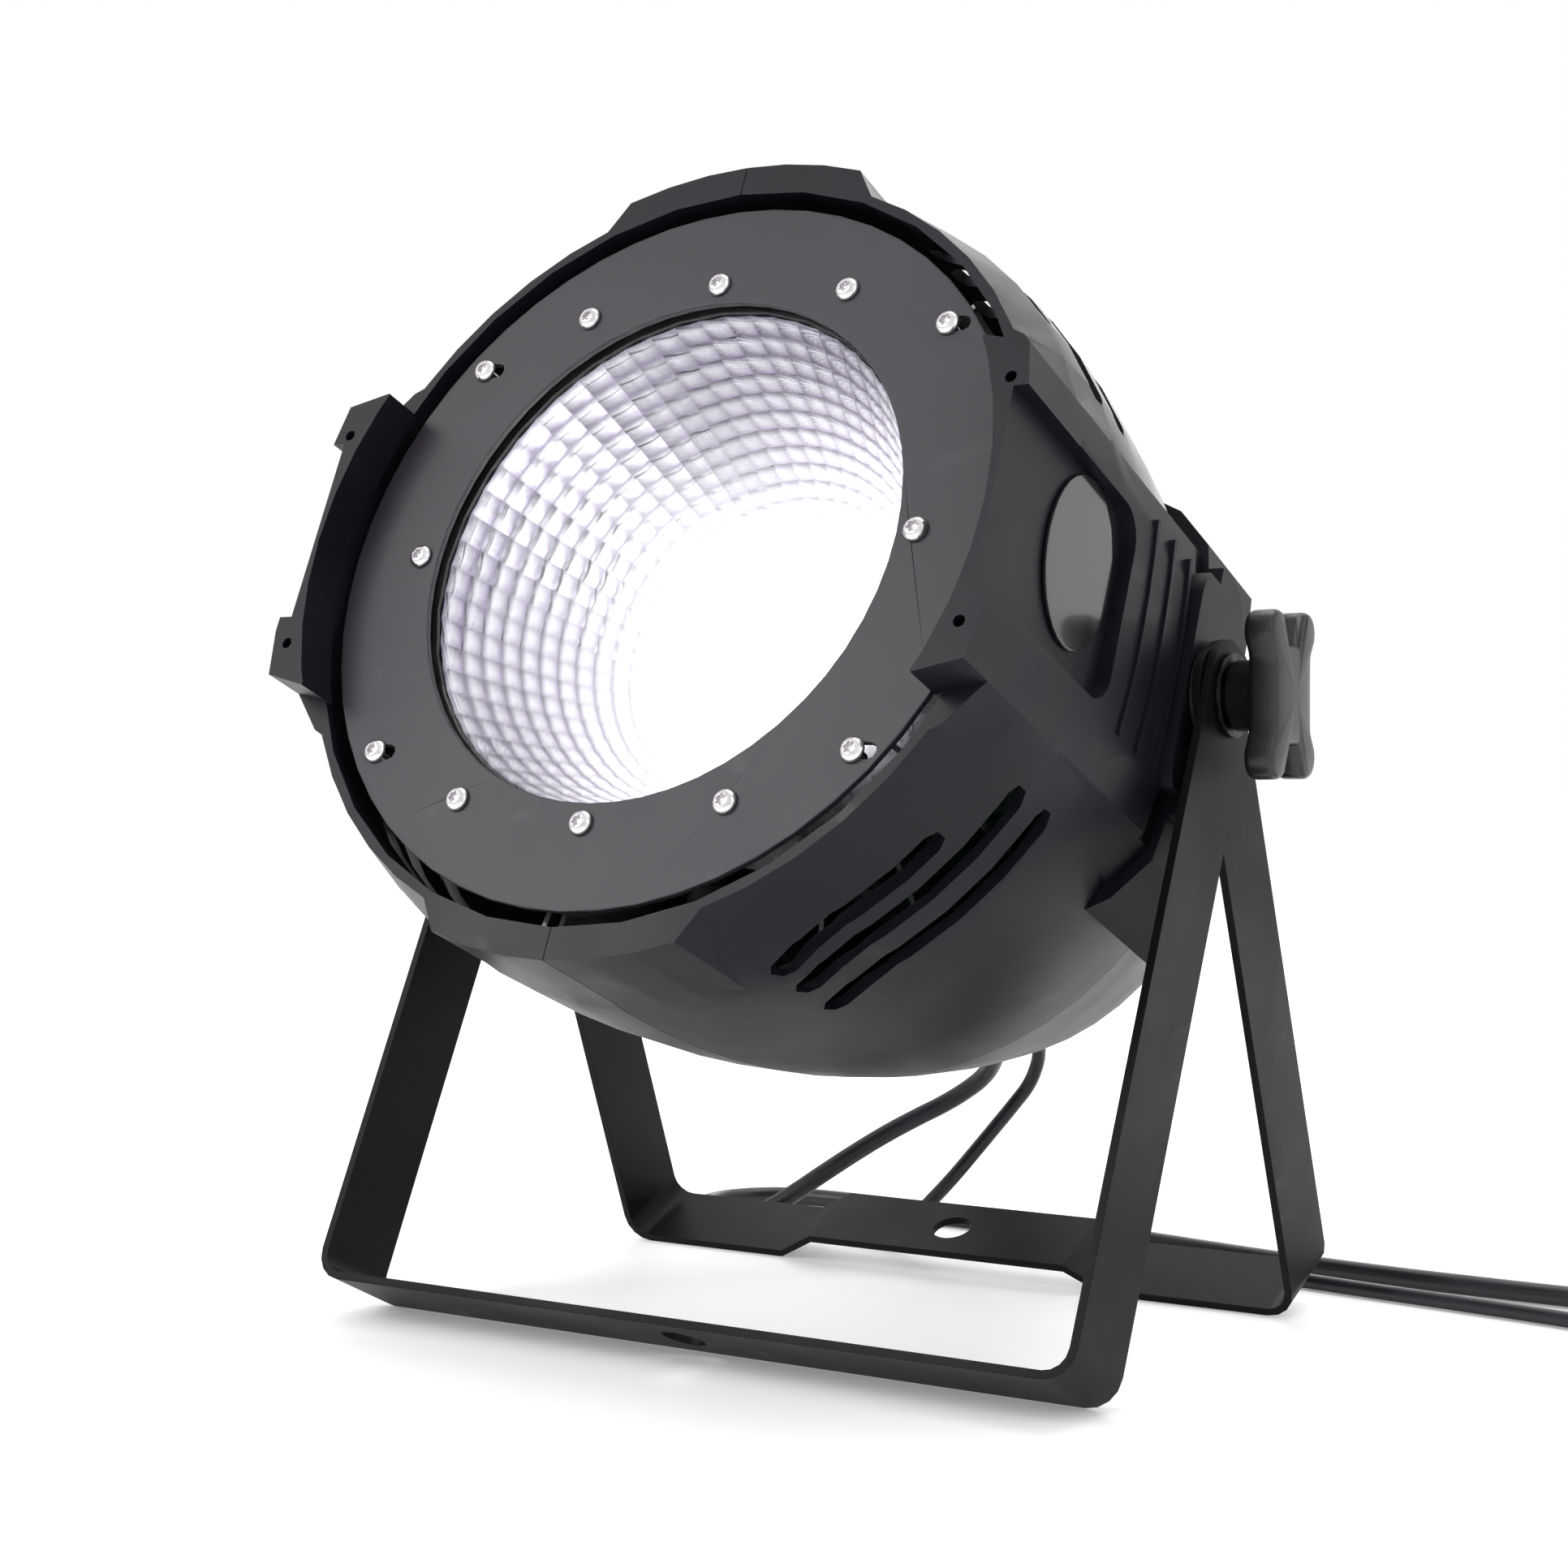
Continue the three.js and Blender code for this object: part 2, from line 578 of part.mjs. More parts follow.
// Heat sink: a round base behind the LED with radial fins behind it and forward around the reflector.
// Three of the fins reach out to the gap around the front plate.
function addHeatSink(baseFace) {
  const baseBack = baseFace - 8;
  const base = solid(turned([[baseFace, 0], [baseFace, 60], [baseBack, 60], [baseBack, 0]], 24));
  const finCount = 16;
  const fin = (degrees, front, outer) => {
    const outline = polygon([
      [baseBack + 1, 22], [baseBack + 1, 84], [front, 84], [front, outer], [-10, 100], [-26, 90], [-26, 22],
    ]);
    const blade = across(outline, -0.8, 0.8).translate(0, 0, AXIS_DROP);
    return solid(blade.rotateY((90 - degrees) * DEG).translate(0, 0, -AXIS_DROP));
  };
  const turns = stations(0.5, finCount - 0.5, finCount - 1);
  const even = turns.map((k) => fin((k * 360) / finCount, 80, 98));
  const reaching = [45, 262, 265].map((degrees) => fin(degrees, 96, 108));
  addHead("heat_sink", geometryOf(union([base, ...even, ...reaching])), ALUMINIUM);
}

function addBadges() {
  const shape = new THREE.Shape().absellipse(BADGE_AT[0], BADGE_AT[1], ...BADGE_RADII, 0, 2 * Math.PI);
  const plate = across(shape, RECESS_X + GAP, RECESS_X + 1.3, 16);
  SIDES.forEach(([side, sign]) => addHead(`badge_${side}`, onSide(plate, sign), GLOSS));
}

// ---------------------------------------------------------------- yokes

// One strip bent to a U, hanging from the pivot: x across, z down the legs, y across the strip.
function yokeStrip(halfSpan, reach, joggle) {
  const t = YOKE_THICK;
  const outerX = halfSpan;
  const bend = (radius, sign) =>
    stations(0, 1, 4).map((s) => {
      const a = (sign > 0 ? -s : s - 1) * 90 * DEG;
      return [sign * (outerX - YOKE_BEND + radius * Math.cos(a)), -reach + YOKE_BEND + radius * Math.sin(a)];
    });
  const floorLine = (lift) => {
    if (!joggle) return [];
    const ends = JOGGLE_HALF + JOGGLE_RAMP;
    const low = -reach + lift;
    return [[ends, low], [JOGGLE_HALF, low + JOGGLE_RISE], [-JOGGLE_HALF, low + JOGGLE_RISE], [-ends, low]];
  };
  const outer = [...bend(YOKE_BEND, 1), ...floorLine(0), ...bend(YOKE_BEND, -1)];
  const inner = [...bend(YOKE_BEND - t, 1), ...floorLine(t), ...bend(YOKE_BEND - t, -1)];
  const outline = [
    [outerX, YOKE_HEAD], ...outer, [-outerX, YOKE_HEAD],
    [-outerX + t, YOKE_HEAD], ...inner.reverse(), [outerX - t, YOKE_HEAD],
  ];
  const g = new THREE.ExtrudeGeometry(polygon(outline), { depth: YOKE_WIDTH, bevelEnabled: false });
  return solid(g.rotateX(Math.PI / 2).translate(0, YOKE_WIDTH / 2, 0));
}

function yokeOutlineSide(reach) {
  const h = YOKE_WIDTH / 2;
  const r = 12;
  const shape = new THREE.Shape();
  shape.moveTo(-h, -reach - 1);
  shape.lineTo(h, -reach - 1);
  shape.absarc(h - r, YOKE_HEAD - r, r, 0, Math.PI / 2);
  shape.absarc(-h + r, YOKE_HEAD - r, r, Math.PI / 2, Math.PI);
  const g = new THREE.ExtrudeGeometry(shape, { depth: 300, bevelEnabled: false, curveSegments: 5 });
  const basis = new THREE.Matrix4().makeBasis(
    new THREE.Vector3(0, 1, 0),
    new THREE.Vector3(0, 0, 1),
    new THREE.Vector3(1, 0, 0),
  );
  return solid(g.applyMatrix4(basis).translate(-150, 0, 0));
}

function yoke(halfSpan, reach, swing, joggle) {
  const strip = yokeStrip(halfSpan, reach, joggle).intersect(yokeOutlineSide(reach));
  const pivotHole = solid(cylinderX(STUD_R + GAP, -200, 200, 20));
  const clampHole = new THREE.CylinderGeometry(CLAMP_HOLE, CLAMP_HOLE, 60, 24);
  clampHole.rotateX(Math.PI / 2).translate(0, 0, -reach);
  const g = geometryOf(cut(strip, [pivotHole, solid(clampHole)]));
  return g.rotateX(swing).translate(0, 0, pivotHeight());
}

function rearReach() {
  return (pivotHeight() - (YOKE_WIDTH / 2) * Math.sin(REAR_SWING)) / Math.cos(REAR_SWING);
}

function addYokes() {
  add("front_yoke", yoke(FRONT_HALF_SPAN, FRONT_REACH, FRONT_SWING, false), SATIN);
  add("rear_yoke", yoke(REAR_HALF_SPAN, rearReach(), REAR_SWING, true), SATIN);
}

// ---------------------------------------------------------------- pivot hardware

const WASHER_X = FRONT_HALF_SPAN + GAP;
const COLLAR_X = WASHER_X + 1.2 + GAP;
const LOBE_X = 136.6;
const KNOB_FACE = 145.4;

// Four-lobed knob, taller than it is wide: a block with a round lobe at each corner and a collar.
function knobBody() {
  const lobeR = 6.6;
  const lobes = [[-10.4, 17.6], [10.4, 17.6], [10.4, -17.6], [-10.4, -17.6]];
  const parts = lobes.map(([y, z]) => solid(cylinderX(lobeR, LOBE_X, KNOB_FACE, 12).translate(0, y, z)));
  const block = new THREE.BoxGeometry(KNOB_FACE - LOBE_X, 27, 29);
  block.translate((LOBE_X + KNOB_FACE) / 2, 0, 0);
  const heart = solid(cylinderX(12.2, LOBE_X, KNOB_FACE + 1.6, 16));
  const collar = solid(cylinderX(10, COLLAR_X, LOBE_X + 1, 16));
  const bore = solid(cylinderX(STUD_R + GAP, COLLAR_X - 5, 141, 12));
  return geometryOf(cut(union([...parts, solid(block), heart, collar]), [bore]));
}

function ringX(inner, outer, x0, x1, segments = 20) {
  const ring = solid(cylinderX(outer, x0, x1, segments));
  return geometryOf(cut(ring, [solid(cylinderX(inner, x0 - 1, x1 + 1, 12))]));
}

function hexNut(x0, x1) {
  const body = solid(cylinderX(7.5, x0, x1, 6));
  return geometryOf(cut(body, [solid(cylinderX(STUD_R + GAP, x0 - 1, x1 + 1, 12))]));
}

function addPivots() {
  const knob = knobBody();
  const stud = cylinderX(STUD_R, 98, 140.6, 12);
  const washer = ringX(STUD_R + GAP, 12, WASHER_X, WASHER_X + 1.2);
  const friction = ringX(STUD_R + GAP, 14, BOSS_X + GAP, BOSS_X + GAP + 1);
  const nut = hexNut(101.5, PAD_CAVITY_X - GAP);
  SIDES.forEach(([side, sign]) => {
    add(`knob_${side}`, closed(onSide(knob, sign)).translate(0, 0, pivotHeight()), PLASTIC);
    addHead(`stud_${side}`, onSide(stud, sign), STEEL);
    addHead(`washer_${side}`, onSide(washer, sign), STEEL);
    addHead(`friction_disc_${side}`, onSide(friction, sign), RUBBER);
    addHead(`pivot_nut_${side}`, onSide(nut, sign), STEEL);
  });
}

// ---------------------------------------------------------------- leads

// Routes after the straight start out of each gland, in the order that the lead runs to its coil.
const MAINS_ROUTE = [
  [-11.4, 118.8, 67.7], [-15.4, 125.4, 62.2], [-21.5, 129.5, 56.3], [-29, 130.7, 50.8], [-37, 128.8, 45.6],
  [-45, 123.8, 40.8], [-53.5, 117, 35.2], [-62, 109.8, 28.8], [-71, 102.8, 21.6], [-79.5, 97.4, 14.8],
  [-88, 94.2, 9], [-96.5, 93, 5], [-105, 93.2, 3.4], [-117.5, 96.8, 3.4], [-127.4, 106.7, 3.4],
  [-131, 120.2, 3.4], [-127.4, 133.7, 3.4], [-117.5, 143.6, 3.4], [-104, 147.2, 3.4], [-80, 147.4, 3.4],
  [-45, 145.6, 3.4], [-10, 142, 3.4], [25, 137, 3.4], [60, 130, 3.4], [95, 123.6, 3.4],
  [130, 119.6, 3.4], [165, 118, 3.4], [200, 118, 3.4], [224.6, 118.5, 3.4],
];
const SIGNAL_ROUTE = [
  [7.4, 114.8, 72.6], [5.7, 119.3, 67.4], [3.2, 121.8, 61.4], [0.2, 121.7, 55.2], [-3.4, 119.1, 49.4],
  [-8.2, 113.8, 41.4], [-13.4, 107.9, 32.8], [-18.6, 102.4, 24.6], [-24, 97.8, 17.2], [-29.5, 95, 10.8],
  [-36, 94, 5.8], [-44, 94.6, 3], [-54, 97.4, 2.6], [-61.6, 105.3, 2.6], [-64.5, 116, 2.6],
  [-61.6, 126.7, 2.6], [-53.8, 134.6, 2.6], [-43, 137.2, 2.6], [-20, 134.6, 2.6], [8, 128, 2.6],
  [45, 116.6, 2.6], [85, 106.4, 2.6], [125, 99, 2.6], [165, 93.4, 2.6], [205, 86.6, 2.6],
  [239.4, 77.4, 2.6],
];

// The straight start of a lead: a point just clear of its gland's tip, and one further out.
function leadStart([x, up], length) {
  const out = [GAP, 7].map((beyond) => new THREE.Vector3(x, length + beyond - BACK_FACE, up - AXIS_DROP));
  return out.map((point) => point.applyMatrix4(headMatrix));
}

function tube(start, route, radius, steps) {
  const corner = (k) => new THREE.Vector2(radius, 0).rotateAround(new THREE.Vector2(), (k + 0.5) * 45 * DEG);
  const section = new THREE.Shape(stations(0, 7, 7).map(corner));
  const points = [...start, ...route.map((point) => new THREE.Vector3(...point))];
  const extrudePath = new THREE.CatmullRomCurve3(points, false, "centripetal");
  return closed(new THREE.ExtrudeGeometry(section, { steps, extrudePath, bevelEnabled: false }));
}

function coilRing({ centre: [x, y], inner, outer, height }) {
  const profile = [[inner, GAP], [outer, GAP], [outer, height], [inner, height], [inner, GAP]];
  const g = new THREE.LatheGeometry(profile.map(([r, z]) => new THREE.Vector2(r, z)), 28);
  return closed(g.rotateX(Math.PI / 2).translate(x, y, 0));
}

// Each coil is one ring; leaves and heading are where its lead runs off it, and which way.
const MAINS_COIL = {
  centre: [252, 156],
  inner: 27,
  outer: 41,
  height: 13.5,
  leaves: -90 * DEG,
  heading: 0,
  radius: 34.2,
  run: 30,
};
const SIGNAL_COIL = {
  centre: [250, 44],
  inner: 22,
  outer: 32,
  height: 10,
  leaves: 30 * DEG,
  heading: -60 * DEG,
  radius: 27,
  run: 26,
};

// Both plugs lie on the floor with the lead's end at the origin and their contacts out along +x.
const LYING = 0.4; // lowest point above the floor

// Two-pin mains plug: tapered tail, flat body and two round pins.
function mainsPlug() {
  const middle = 7.2;
  const tail = new THREE.CylinderGeometry(6, LEAD_R + 0.8, 16, 12).rotateZ(-Math.PI / 2);
  tail.translate(8, 0, middle);
  const body = new THREE.ExtrudeGeometry(roundedRectangle(-16, LYING, 16, 14, 5), {
    depth: 34,
    bevelEnabled: false,
    curveSegments: 3,
  });
  body.rotateX(Math.PI / 2).rotateZ(Math.PI / 2).translate(15, 0, 0);
  const pins = [-9.5, 9.5].map((y) => solid(cylinderX(2.4, 48, 67, 10).translate(0, y, middle)));
  return geometryOf(union([solid(tail), solid(body), ...pins]));
}

// Three-pin signal connector: a stepped barrel with an open mouth and three contacts in it.
function signalPlug() {
  const barrelR = 9.6;
  const middle = barrelR + LYING;
  const tail = [[0, 0], [SIGNAL_R + 0.8, 0], [5, 3], [8.2, 16], [8.2, 31]];
  const profile = [...tail, [barrelR, 32], [barrelR, 62], [0, 62]];
  const outline = profile.map(([r, y]) => new THREE.Vector2(r, y));
  const barrel = solid(new THREE.LatheGeometry(outline, 16).rotateZ(-Math.PI / 2).translate(0, 0, middle));
  const mouth = solid(cylinderX(8, 50, 66, 16).translate(0, 0, middle));
  const pins = [90, 210, 330].map((a) => {
    const pin = cylinderX(1.2, 48, 60, 8);
    return solid(pin.translate(0, 4 * Math.cos(a * DEG), middle + 4 * Math.sin(a * DEG)));
  });
  return geometryOf(union([cut(barrel, [mouth]), ...pins]));
}

// A plug's place: the lead leaves its coil along a tangent and runs on a little to the plug.
function offCoil(geometry, { centre, leaves, heading, radius, run }) {
  const [x, y] = centre;
  const turned = geometry.rotateZ(heading);
  return turned.translate(
    x + radius * Math.cos(leaves) + run * Math.cos(heading),
    y + radius * Math.sin(leaves) + run * Math.sin(heading),
    0,
  );
}

function addLeads() {
  add("mains_lead", tube(leadStart(MAINS_AT, MAINS_GLAND), MAINS_ROUTE, LEAD_R, 44), RUBBER);
  add("signal_lead", tube(leadStart(SIGNAL_AT, SIGNAL_GLAND), SIGNAL_ROUTE, SIGNAL_R, 46), RUBBER);
  add("mains_lead_coil", coilRing(MAINS_COIL), RUBBER);
  add("signal_lead_coil", coilRing(SIGNAL_COIL), RUBBER);
  add("mains_plug", offCoil(mainsPlug(), MAINS_COIL), RUBBER);
  add("signal_plug", offCoil(signalPlug(), SIGNAL_COIL), STEEL);
}

// ---------------------------------------------------------------- build

addHousing();
addRearCover();
addFan();
addControls();
addGland("mains_gland", MAINS_AT, LEAD_R, MAINS_GLAND);
addGland("signal_gland", SIGNAL_AT, SIGNAL_R, SIGNAL_GLAND);
addFrontPlate();
addHeatSink(addOptics());
addBadges();
addYokes();
addPivots();
addLeads();

export default group;
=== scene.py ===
"""Looks of an LED par can on a double yoke: materials, fine pieces, leads, lights and camera.

Metres, +Z up, the lamp shines towards -Y with its beam tilted up; the pivot axis lies along X.
"""

import math

import bmesh
import bpy
from mathutils import Matrix, Vector


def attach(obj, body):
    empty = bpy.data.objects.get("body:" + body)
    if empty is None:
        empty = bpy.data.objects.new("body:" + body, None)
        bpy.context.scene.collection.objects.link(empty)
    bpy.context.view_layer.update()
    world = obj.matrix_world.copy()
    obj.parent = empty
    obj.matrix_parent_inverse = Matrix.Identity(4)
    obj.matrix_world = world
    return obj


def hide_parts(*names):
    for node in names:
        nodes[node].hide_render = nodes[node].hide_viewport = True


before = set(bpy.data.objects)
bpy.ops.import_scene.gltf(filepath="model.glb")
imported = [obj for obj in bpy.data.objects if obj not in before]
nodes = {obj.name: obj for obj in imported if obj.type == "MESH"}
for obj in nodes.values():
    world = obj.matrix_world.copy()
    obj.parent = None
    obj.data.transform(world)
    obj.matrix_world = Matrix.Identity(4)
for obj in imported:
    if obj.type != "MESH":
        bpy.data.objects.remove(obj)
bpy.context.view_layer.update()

MM = 0.001

# ---------------------------------------------------------------- driving dimensions, in millimetres

TILT = math.radians(23.4)
PIVOT_HEIGHT = 186.38
AXIS_DROP = 2.9  # lamp axis below the pivot axis

PLATE_FACE = 110.0
AXIAL_SCREW_R = 82.7
DIAGONAL_SCREW_R = 88.0
SLOT_SCREW_R = 100.0
SLOT_SCREW_ANGLE = 38.2
BACK_FACE = -116.0
COVER_SCREW_R = 64.0
COVER_SCREW_ANGLES = (35, 145, 215, 325)

REFLECTOR_MOUTH = 103.9  # ahead of the pivot
REFLECTOR_DEPTH = 78.0
REFLECTOR_THROAT_R = 20.0
REFLECTOR_MOUTH_R = 76.0
FACET_COLUMNS = 56
FACET_ROWS = 16
GLARE_ANGLE = math.radians(-30)  # the side of the bowl where the painted light from the lit disc is strongest

FACET_FINE = 3  # quads along each side of a facet
FACET_CROWN = 0.8

KNOB_BACK = 136.6
KNOB_FACE = 145.4
COLLAR_BACK = 128.3
COLLAR_R = 10.0
LOBE_AT = (10.4, 17.4)  # centre of each lobe, along and up from the stud
LOBE_R = 6.1
BLOCK_HALF = (13.0, 14.0)  # the knob's middle, between the lobes

MAINS_R = 3.2
SIGNAL_R = 2.4
MAINS_AT = (-10.0, -58.0)  # across and up on the back
SIGNAL_AT = (8.0, -55.0)
MAINS_GLAND = 24.0  # how far each gland stands out
SIGNAL_GLAND = 20.0

# ---------------------------------------------------------------- frames


def head_matrix():
    """Head frame to row frame, both in metres: x across, -y ahead, z up, from the pivot."""
    lift = Matrix.Translation((0, 0, PIVOT_HEIGHT * MM))
    return lift @ Matrix.Rotation(-TILT, 4, "X")


HEAD = head_matrix()


def in_head(across, ahead, up):
    """Point in the row frame from millimetres across, ahead of the pivot and above the lamp axis."""
    return HEAD @ Vector((across * MM, -ahead * MM, (up - AXIS_DROP) * MM))


def ahead_frame(across, ahead, up, sign=1):
    """Matrix whose +z looks along the beam (sign 1) or out of the back (sign -1)."""
    turn = Matrix.Rotation(math.radians(90 * sign), 4, "X")
    place = Matrix.Translation((across * MM, -ahead * MM, (up - AXIS_DROP) * MM))
    return HEAD @ place @ turn


# ---------------------------------------------------------------- camera, floor and lights


def look_at(obj, target):
    obj.rotation_mode = "QUATERNION"
    obj.rotation_quaternion = (obj.location - Vector(target)).to_track_quat("Z", "Y")


def make_camera():
    data = bpy.data.cameras.new("camera")
    data.lens = 59.54
    data.sensor_width = 36
    data.clip_start = 0.01
    camera = bpy.data.objects.new("camera", data)
    camera.location = (0.4128, -0.6829, 0.1679)
    bpy.context.scene.collection.objects.link(camera)
    look_at(camera, (-0.0227, 0, 0.1609))
    bpy.context.scene.camera = camera


def area_light(name, place, target, size, power):
    data = bpy.data.lights.new(name, "AREA")
    data.shape = "RECTANGLE"
    data.size, data.size_y = size
    data.energy = power
    light = bpy.data.objects.new(name, data)
    light.location = place
    bpy.context.scene.collection.objects.link(light)
    look_at(light, target)


def make_lights():
    world = bpy.data.worlds.new("studio")
    world.use_nodes = True
    background = world.node_tree.nodes["Background"]
    background.inputs["Color"].default_value = (1, 1, 1, 1)
    background.inputs["Strength"].default_value = 1.0
    bpy.context.scene.world = world
    area_light("key", (-1.1, -1.5, 1.3), (0, 0, 0.18), (0.9, 0.9), 16)
    area_light("side", (1.7, -0.5, 1.0), (0, 0, 0.18), (0.6, 1.4), 3)
    area_light("top", (0.1, 0.5, 1.9), (0, 0, 0.2), (1.4, 1.0), 12)
    area_light("back", (-0.6, 1.8, 0.9), (0, 0, 0.18), (1.2, 0.8), 8)
    bpy.context.scene.view_settings.view_transform = "Standard"


def make_floor():
    mesh = bpy.data.meshes.new("floor")
    reach = 12
    corners = [(-reach, -reach, 0), (reach, -reach, 0), (reach, reach, 0), (-reach, reach, 0)]
    mesh.from_pydata(corners, [], [(0, 1, 2, 3)])
    floor = bpy.data.objects.new("floor", mesh)
    bpy.context.scene.collection.objects.link(floor)
    material, shader, tree = new_material("floor", (0.9, 0.9, 0.9), 0.55)
    shader.inputs["Emission Color"].default_value = (1, 1, 1, 1)
    shader.inputs["Emission Strength"].default_value = 0.2
    mottle = noise_texture(tree, 3.0, 4)
    vary(tree, mottle, shader, "Roughness", 0.5, 0.6)
    mesh.materials.append(material)


# ---------------------------------------------------------------- materials


def new_material(name, colour, roughness, metallic=0.0):
    material = bpy.data.materials.new(name)
    material.use_nodes = True
    tree = material.node_tree
    shader = tree.nodes["Principled BSDF"]
    shader.inputs["Base Color"].default_value = (*colour, 1)
    shader.inputs["Roughness"].default_value = roughness
    shader.inputs["Metallic"].default_value = metallic
    return material, shader, tree


def coordinates(tree, stretch=(1, 1, 1)):
    where = tree.nodes.new("ShaderNodeTexCoord")
    mapping = tree.nodes.new("ShaderNodeMapping")
    mapping.inputs["Scale"].default_value = stretch
    tree.links.new(where.outputs["Object"], mapping.inputs["Vector"])
    return mapping.outputs["Vector"]


def noise_texture(tree, scale, detail=3, stretch=(1, 1, 1), roughness=0.55):
    texture = tree.nodes.new("ShaderNodeTexNoise")
    texture.inputs["Scale"].default_value = scale
    texture.inputs["Detail"].default_value = detail
    texture.inputs["Roughness"].default_value = roughness
    tree.links.new(coordinates(tree, stretch), texture.inputs["Vector"])
    return texture.outputs["Fac"]


def ranged(tree, value, low, high, start=0.3, end=0.7):
    """value from start..end mapped to low..high."""
    node = tree.nodes.new("ShaderNodeMapRange")
    node.inputs["From Min"].default_value = start
    node.inputs["From Max"].default_value = end
    node.inputs["To Min"].default_value = low
    node.inputs["To Max"].default_value = high
    tree.links.new(value, node.inputs["Value"])
    return node.outputs["Result"]


def vary(tree, value, shader, socket, low, high):
    tree.links.new(ranged(tree, value, low, high), shader.inputs[socket])


def tint(tree, value, shader, dark, light, start=0.3, end=0.7):
    """Base colour from dark to light as value goes from start to end."""
    mix = tree.nodes.new("ShaderNodeMix")
    mix.data_type = "RGBA"
    mix.inputs["A"].default_value = (*dark, 1)
    mix.inputs["B"].default_value = (*light, 1)
    tree.links.new(ranged(tree, value, 0, 1, start, end), mix.inputs["Factor"])
    tree.links.new(mix.outputs["Result"], shader.inputs["Base Color"])


def bump(tree, heights, shader):
    """Chains [(height output, strength, distance in mm), ...] into the shader's normal."""
    last = None
    for height, strength, distance in heights:
        node = tree.nodes.new("ShaderNodeBump")
        node.inputs["Strength"].default_value = strength
        node.inputs["Distance"].default_value = distance * MM
        tree.links.new(height, node.inputs["Height"])
        if last is not None:
            tree.links.new(last.outputs["Normal"], node.inputs["Normal"])
        last = node
    tree.links.new(last.outputs["Normal"], shader.inputs["Normal"])


def scuffs(tree, scale, stretch):
    """Thin scattered marks: a stretched noise of which only the peaks count."""
    streaks = noise_texture(tree, scale, 2, stretch, 0.4)
    return ranged(tree, streaks, 0, 1, 0.66, 0.74)


def powder_coat(name, dark, light, rough, grain, gloss):
    """Baked black paint: orange peel, fine grain, cloudy sheen and a few light handling marks."""
    material, shader, tree = new_material(name, dark, rough[0])
    cloud = noise_texture(tree, 18, 4)
    tint(tree, cloud, shader, dark, light)
    marks = scuffs(tree, 55, (1, 0.25, 1.6))
    blend = tree.nodes.new("ShaderNodeMath")
    blend.operation = "MULTIPLY_ADD"
    tree.links.new(marks, blend.inputs[0])
    blend.inputs[1].default_value = -0.07
    tree.links.new(ranged(tree, cloud, rough[0], rough[1]), blend.inputs[2])
    tree.links.new(blend.outputs["Value"], shader.inputs["Roughness"])
    peel = noise_texture(tree, 420, 2)
    fine = noise_texture(tree, grain, 2)
    bump(tree, [(peel, 0.22, 0.05), (fine, 0.25, 0.03)], shader)
    shader.inputs["Specular IOR Level"].default_value = gloss
    return material


def moulded_plastic(name, colour, rough, texture_scale=700, strength=0.2):
    material, shader, tree = new_material(name, colour, rough)
    cloud = noise_texture(tree, 40, 3)
    tint(tree, cloud, shader, colour, tuple(c * 1.5 for c in colour))
    vary(tree, cloud, shader, "Roughness", rough - 0.06, rough + 0.08)
    bump(tree, [(noise_texture(tree, texture_scale, 2), strength, 0.03)], shader)
    return material


def rubber(name, colour, rough):
    material, shader, tree = new_material(name, colour, rough)
    dust = noise_texture(tree, 60, 4)
    tint(tree, dust, shader, colour, tuple(c * 2.2 for c in colour), 0.45, 0.75)
    vary(tree, dust, shader, "Roughness", rough - 0.08, rough + 0.1)
    bump(tree, [(noise_texture(tree, 900, 3), 0.3, 0.04)], shader)
    return material


def plated_steel(name, colour, rough):
    material, shader, tree = new_material(name, colour, rough, 1.0)
    smudge = noise_texture(tree, 260, 3)
    tint(tree, smudge, shader, colour, tuple(min(1, c * 1.25) for c in colour))
    vary(tree, smudge, shader, "Roughness", rough * 0.7, rough * 1.6)
    turning = noise_texture(tree, 1600, 2, (1, 1, 0.2))
    bump(tree, [(turning, 0.12, 0.02)], shader)
    return material


def extruded_aluminium(name):
    material, shader, tree = new_material(name, (0.5, 0.51, 0.53), 0.32, 1.0)
    lines = noise_texture(tree, 500, 3, (1, 0.04, 1))
    vary(tree, lines, shader, "Roughness", 0.22, 0.44)
    bump(tree, [(lines, 0.15, 0.03)], shader)
    return material


def reflector_mirror(name):
    """Metallised facets with painted light and painted shade: an emission stands in for the LED's light on
    the bowl, and a tone ramp across each facet stands in for its reflections.
    """
    material, shader, tree = new_material(name, (0.93, 0.93, 0.95), 0.1, 1.0)
    haze = noise_texture(tree, 90, 3)
    vary(tree, haze, shader, "Roughness", 0.06, 0.16)
    # Painted shade and highlights: each facet runs from dark at one border to light at the other, in place of
    # its reflections.
    painted_facet_shading = tree.nodes.new("ShaderNodeAttribute")
    painted_facet_shading.attribute_name = "painted_facet_shading"
    tint(tree, painted_facet_shading.outputs["Fac"], shader, (0.34, 0.31, 0.38), (0.97, 0.96, 0.98), 0.1, 0.8)
    bump(tree, [(noise_texture(tree, 1100, 2), 0.1, 0.02)], shader)
    # Painted light: an emission from the mesh's attribute stands in for the LED's light falling on the bowl.
    painted_glow = tree.nodes.new("ShaderNodeAttribute")
    painted_glow.attribute_name = "painted_glow"
    shader.inputs["Emission Color"].default_value = (1.0, 0.975, 1.0, 1)
    tree.links.new(painted_glow.outputs["Fac"], shader.inputs["Emission Strength"])
    return material


def clear_glass(name):
    material, shader, tree = new_material(name, (0.97, 0.985, 0.99), 0.02)
    shader.inputs["Transmission Weight"].default_value = 1.0
    shader.inputs["IOR"].default_value = 1.12
    smear = noise_texture(tree, 25, 4)
    vary(tree, smear, shader, "Roughness", 0.0, 0.03)
    return material


def gloss_sheet(name, colour, rough):
    material, shader, tree = new_material(name, colour, rough)
    shader.inputs["Coat Weight"].default_value = 0.7
    shader.inputs["Coat Roughness"].default_value = 0.06
    print_mottle = noise_texture(tree, 30, 4)
    tint(tree, print_mottle, shader, colour, tuple(c * 1.8 for c in colour))
    vary(tree, print_mottle, shader, "Roughness", rough, rough + 0.14)
    bump(tree, [(noise_texture(tree, 45, 2), 0.15, 0.12)], shader)
    return material


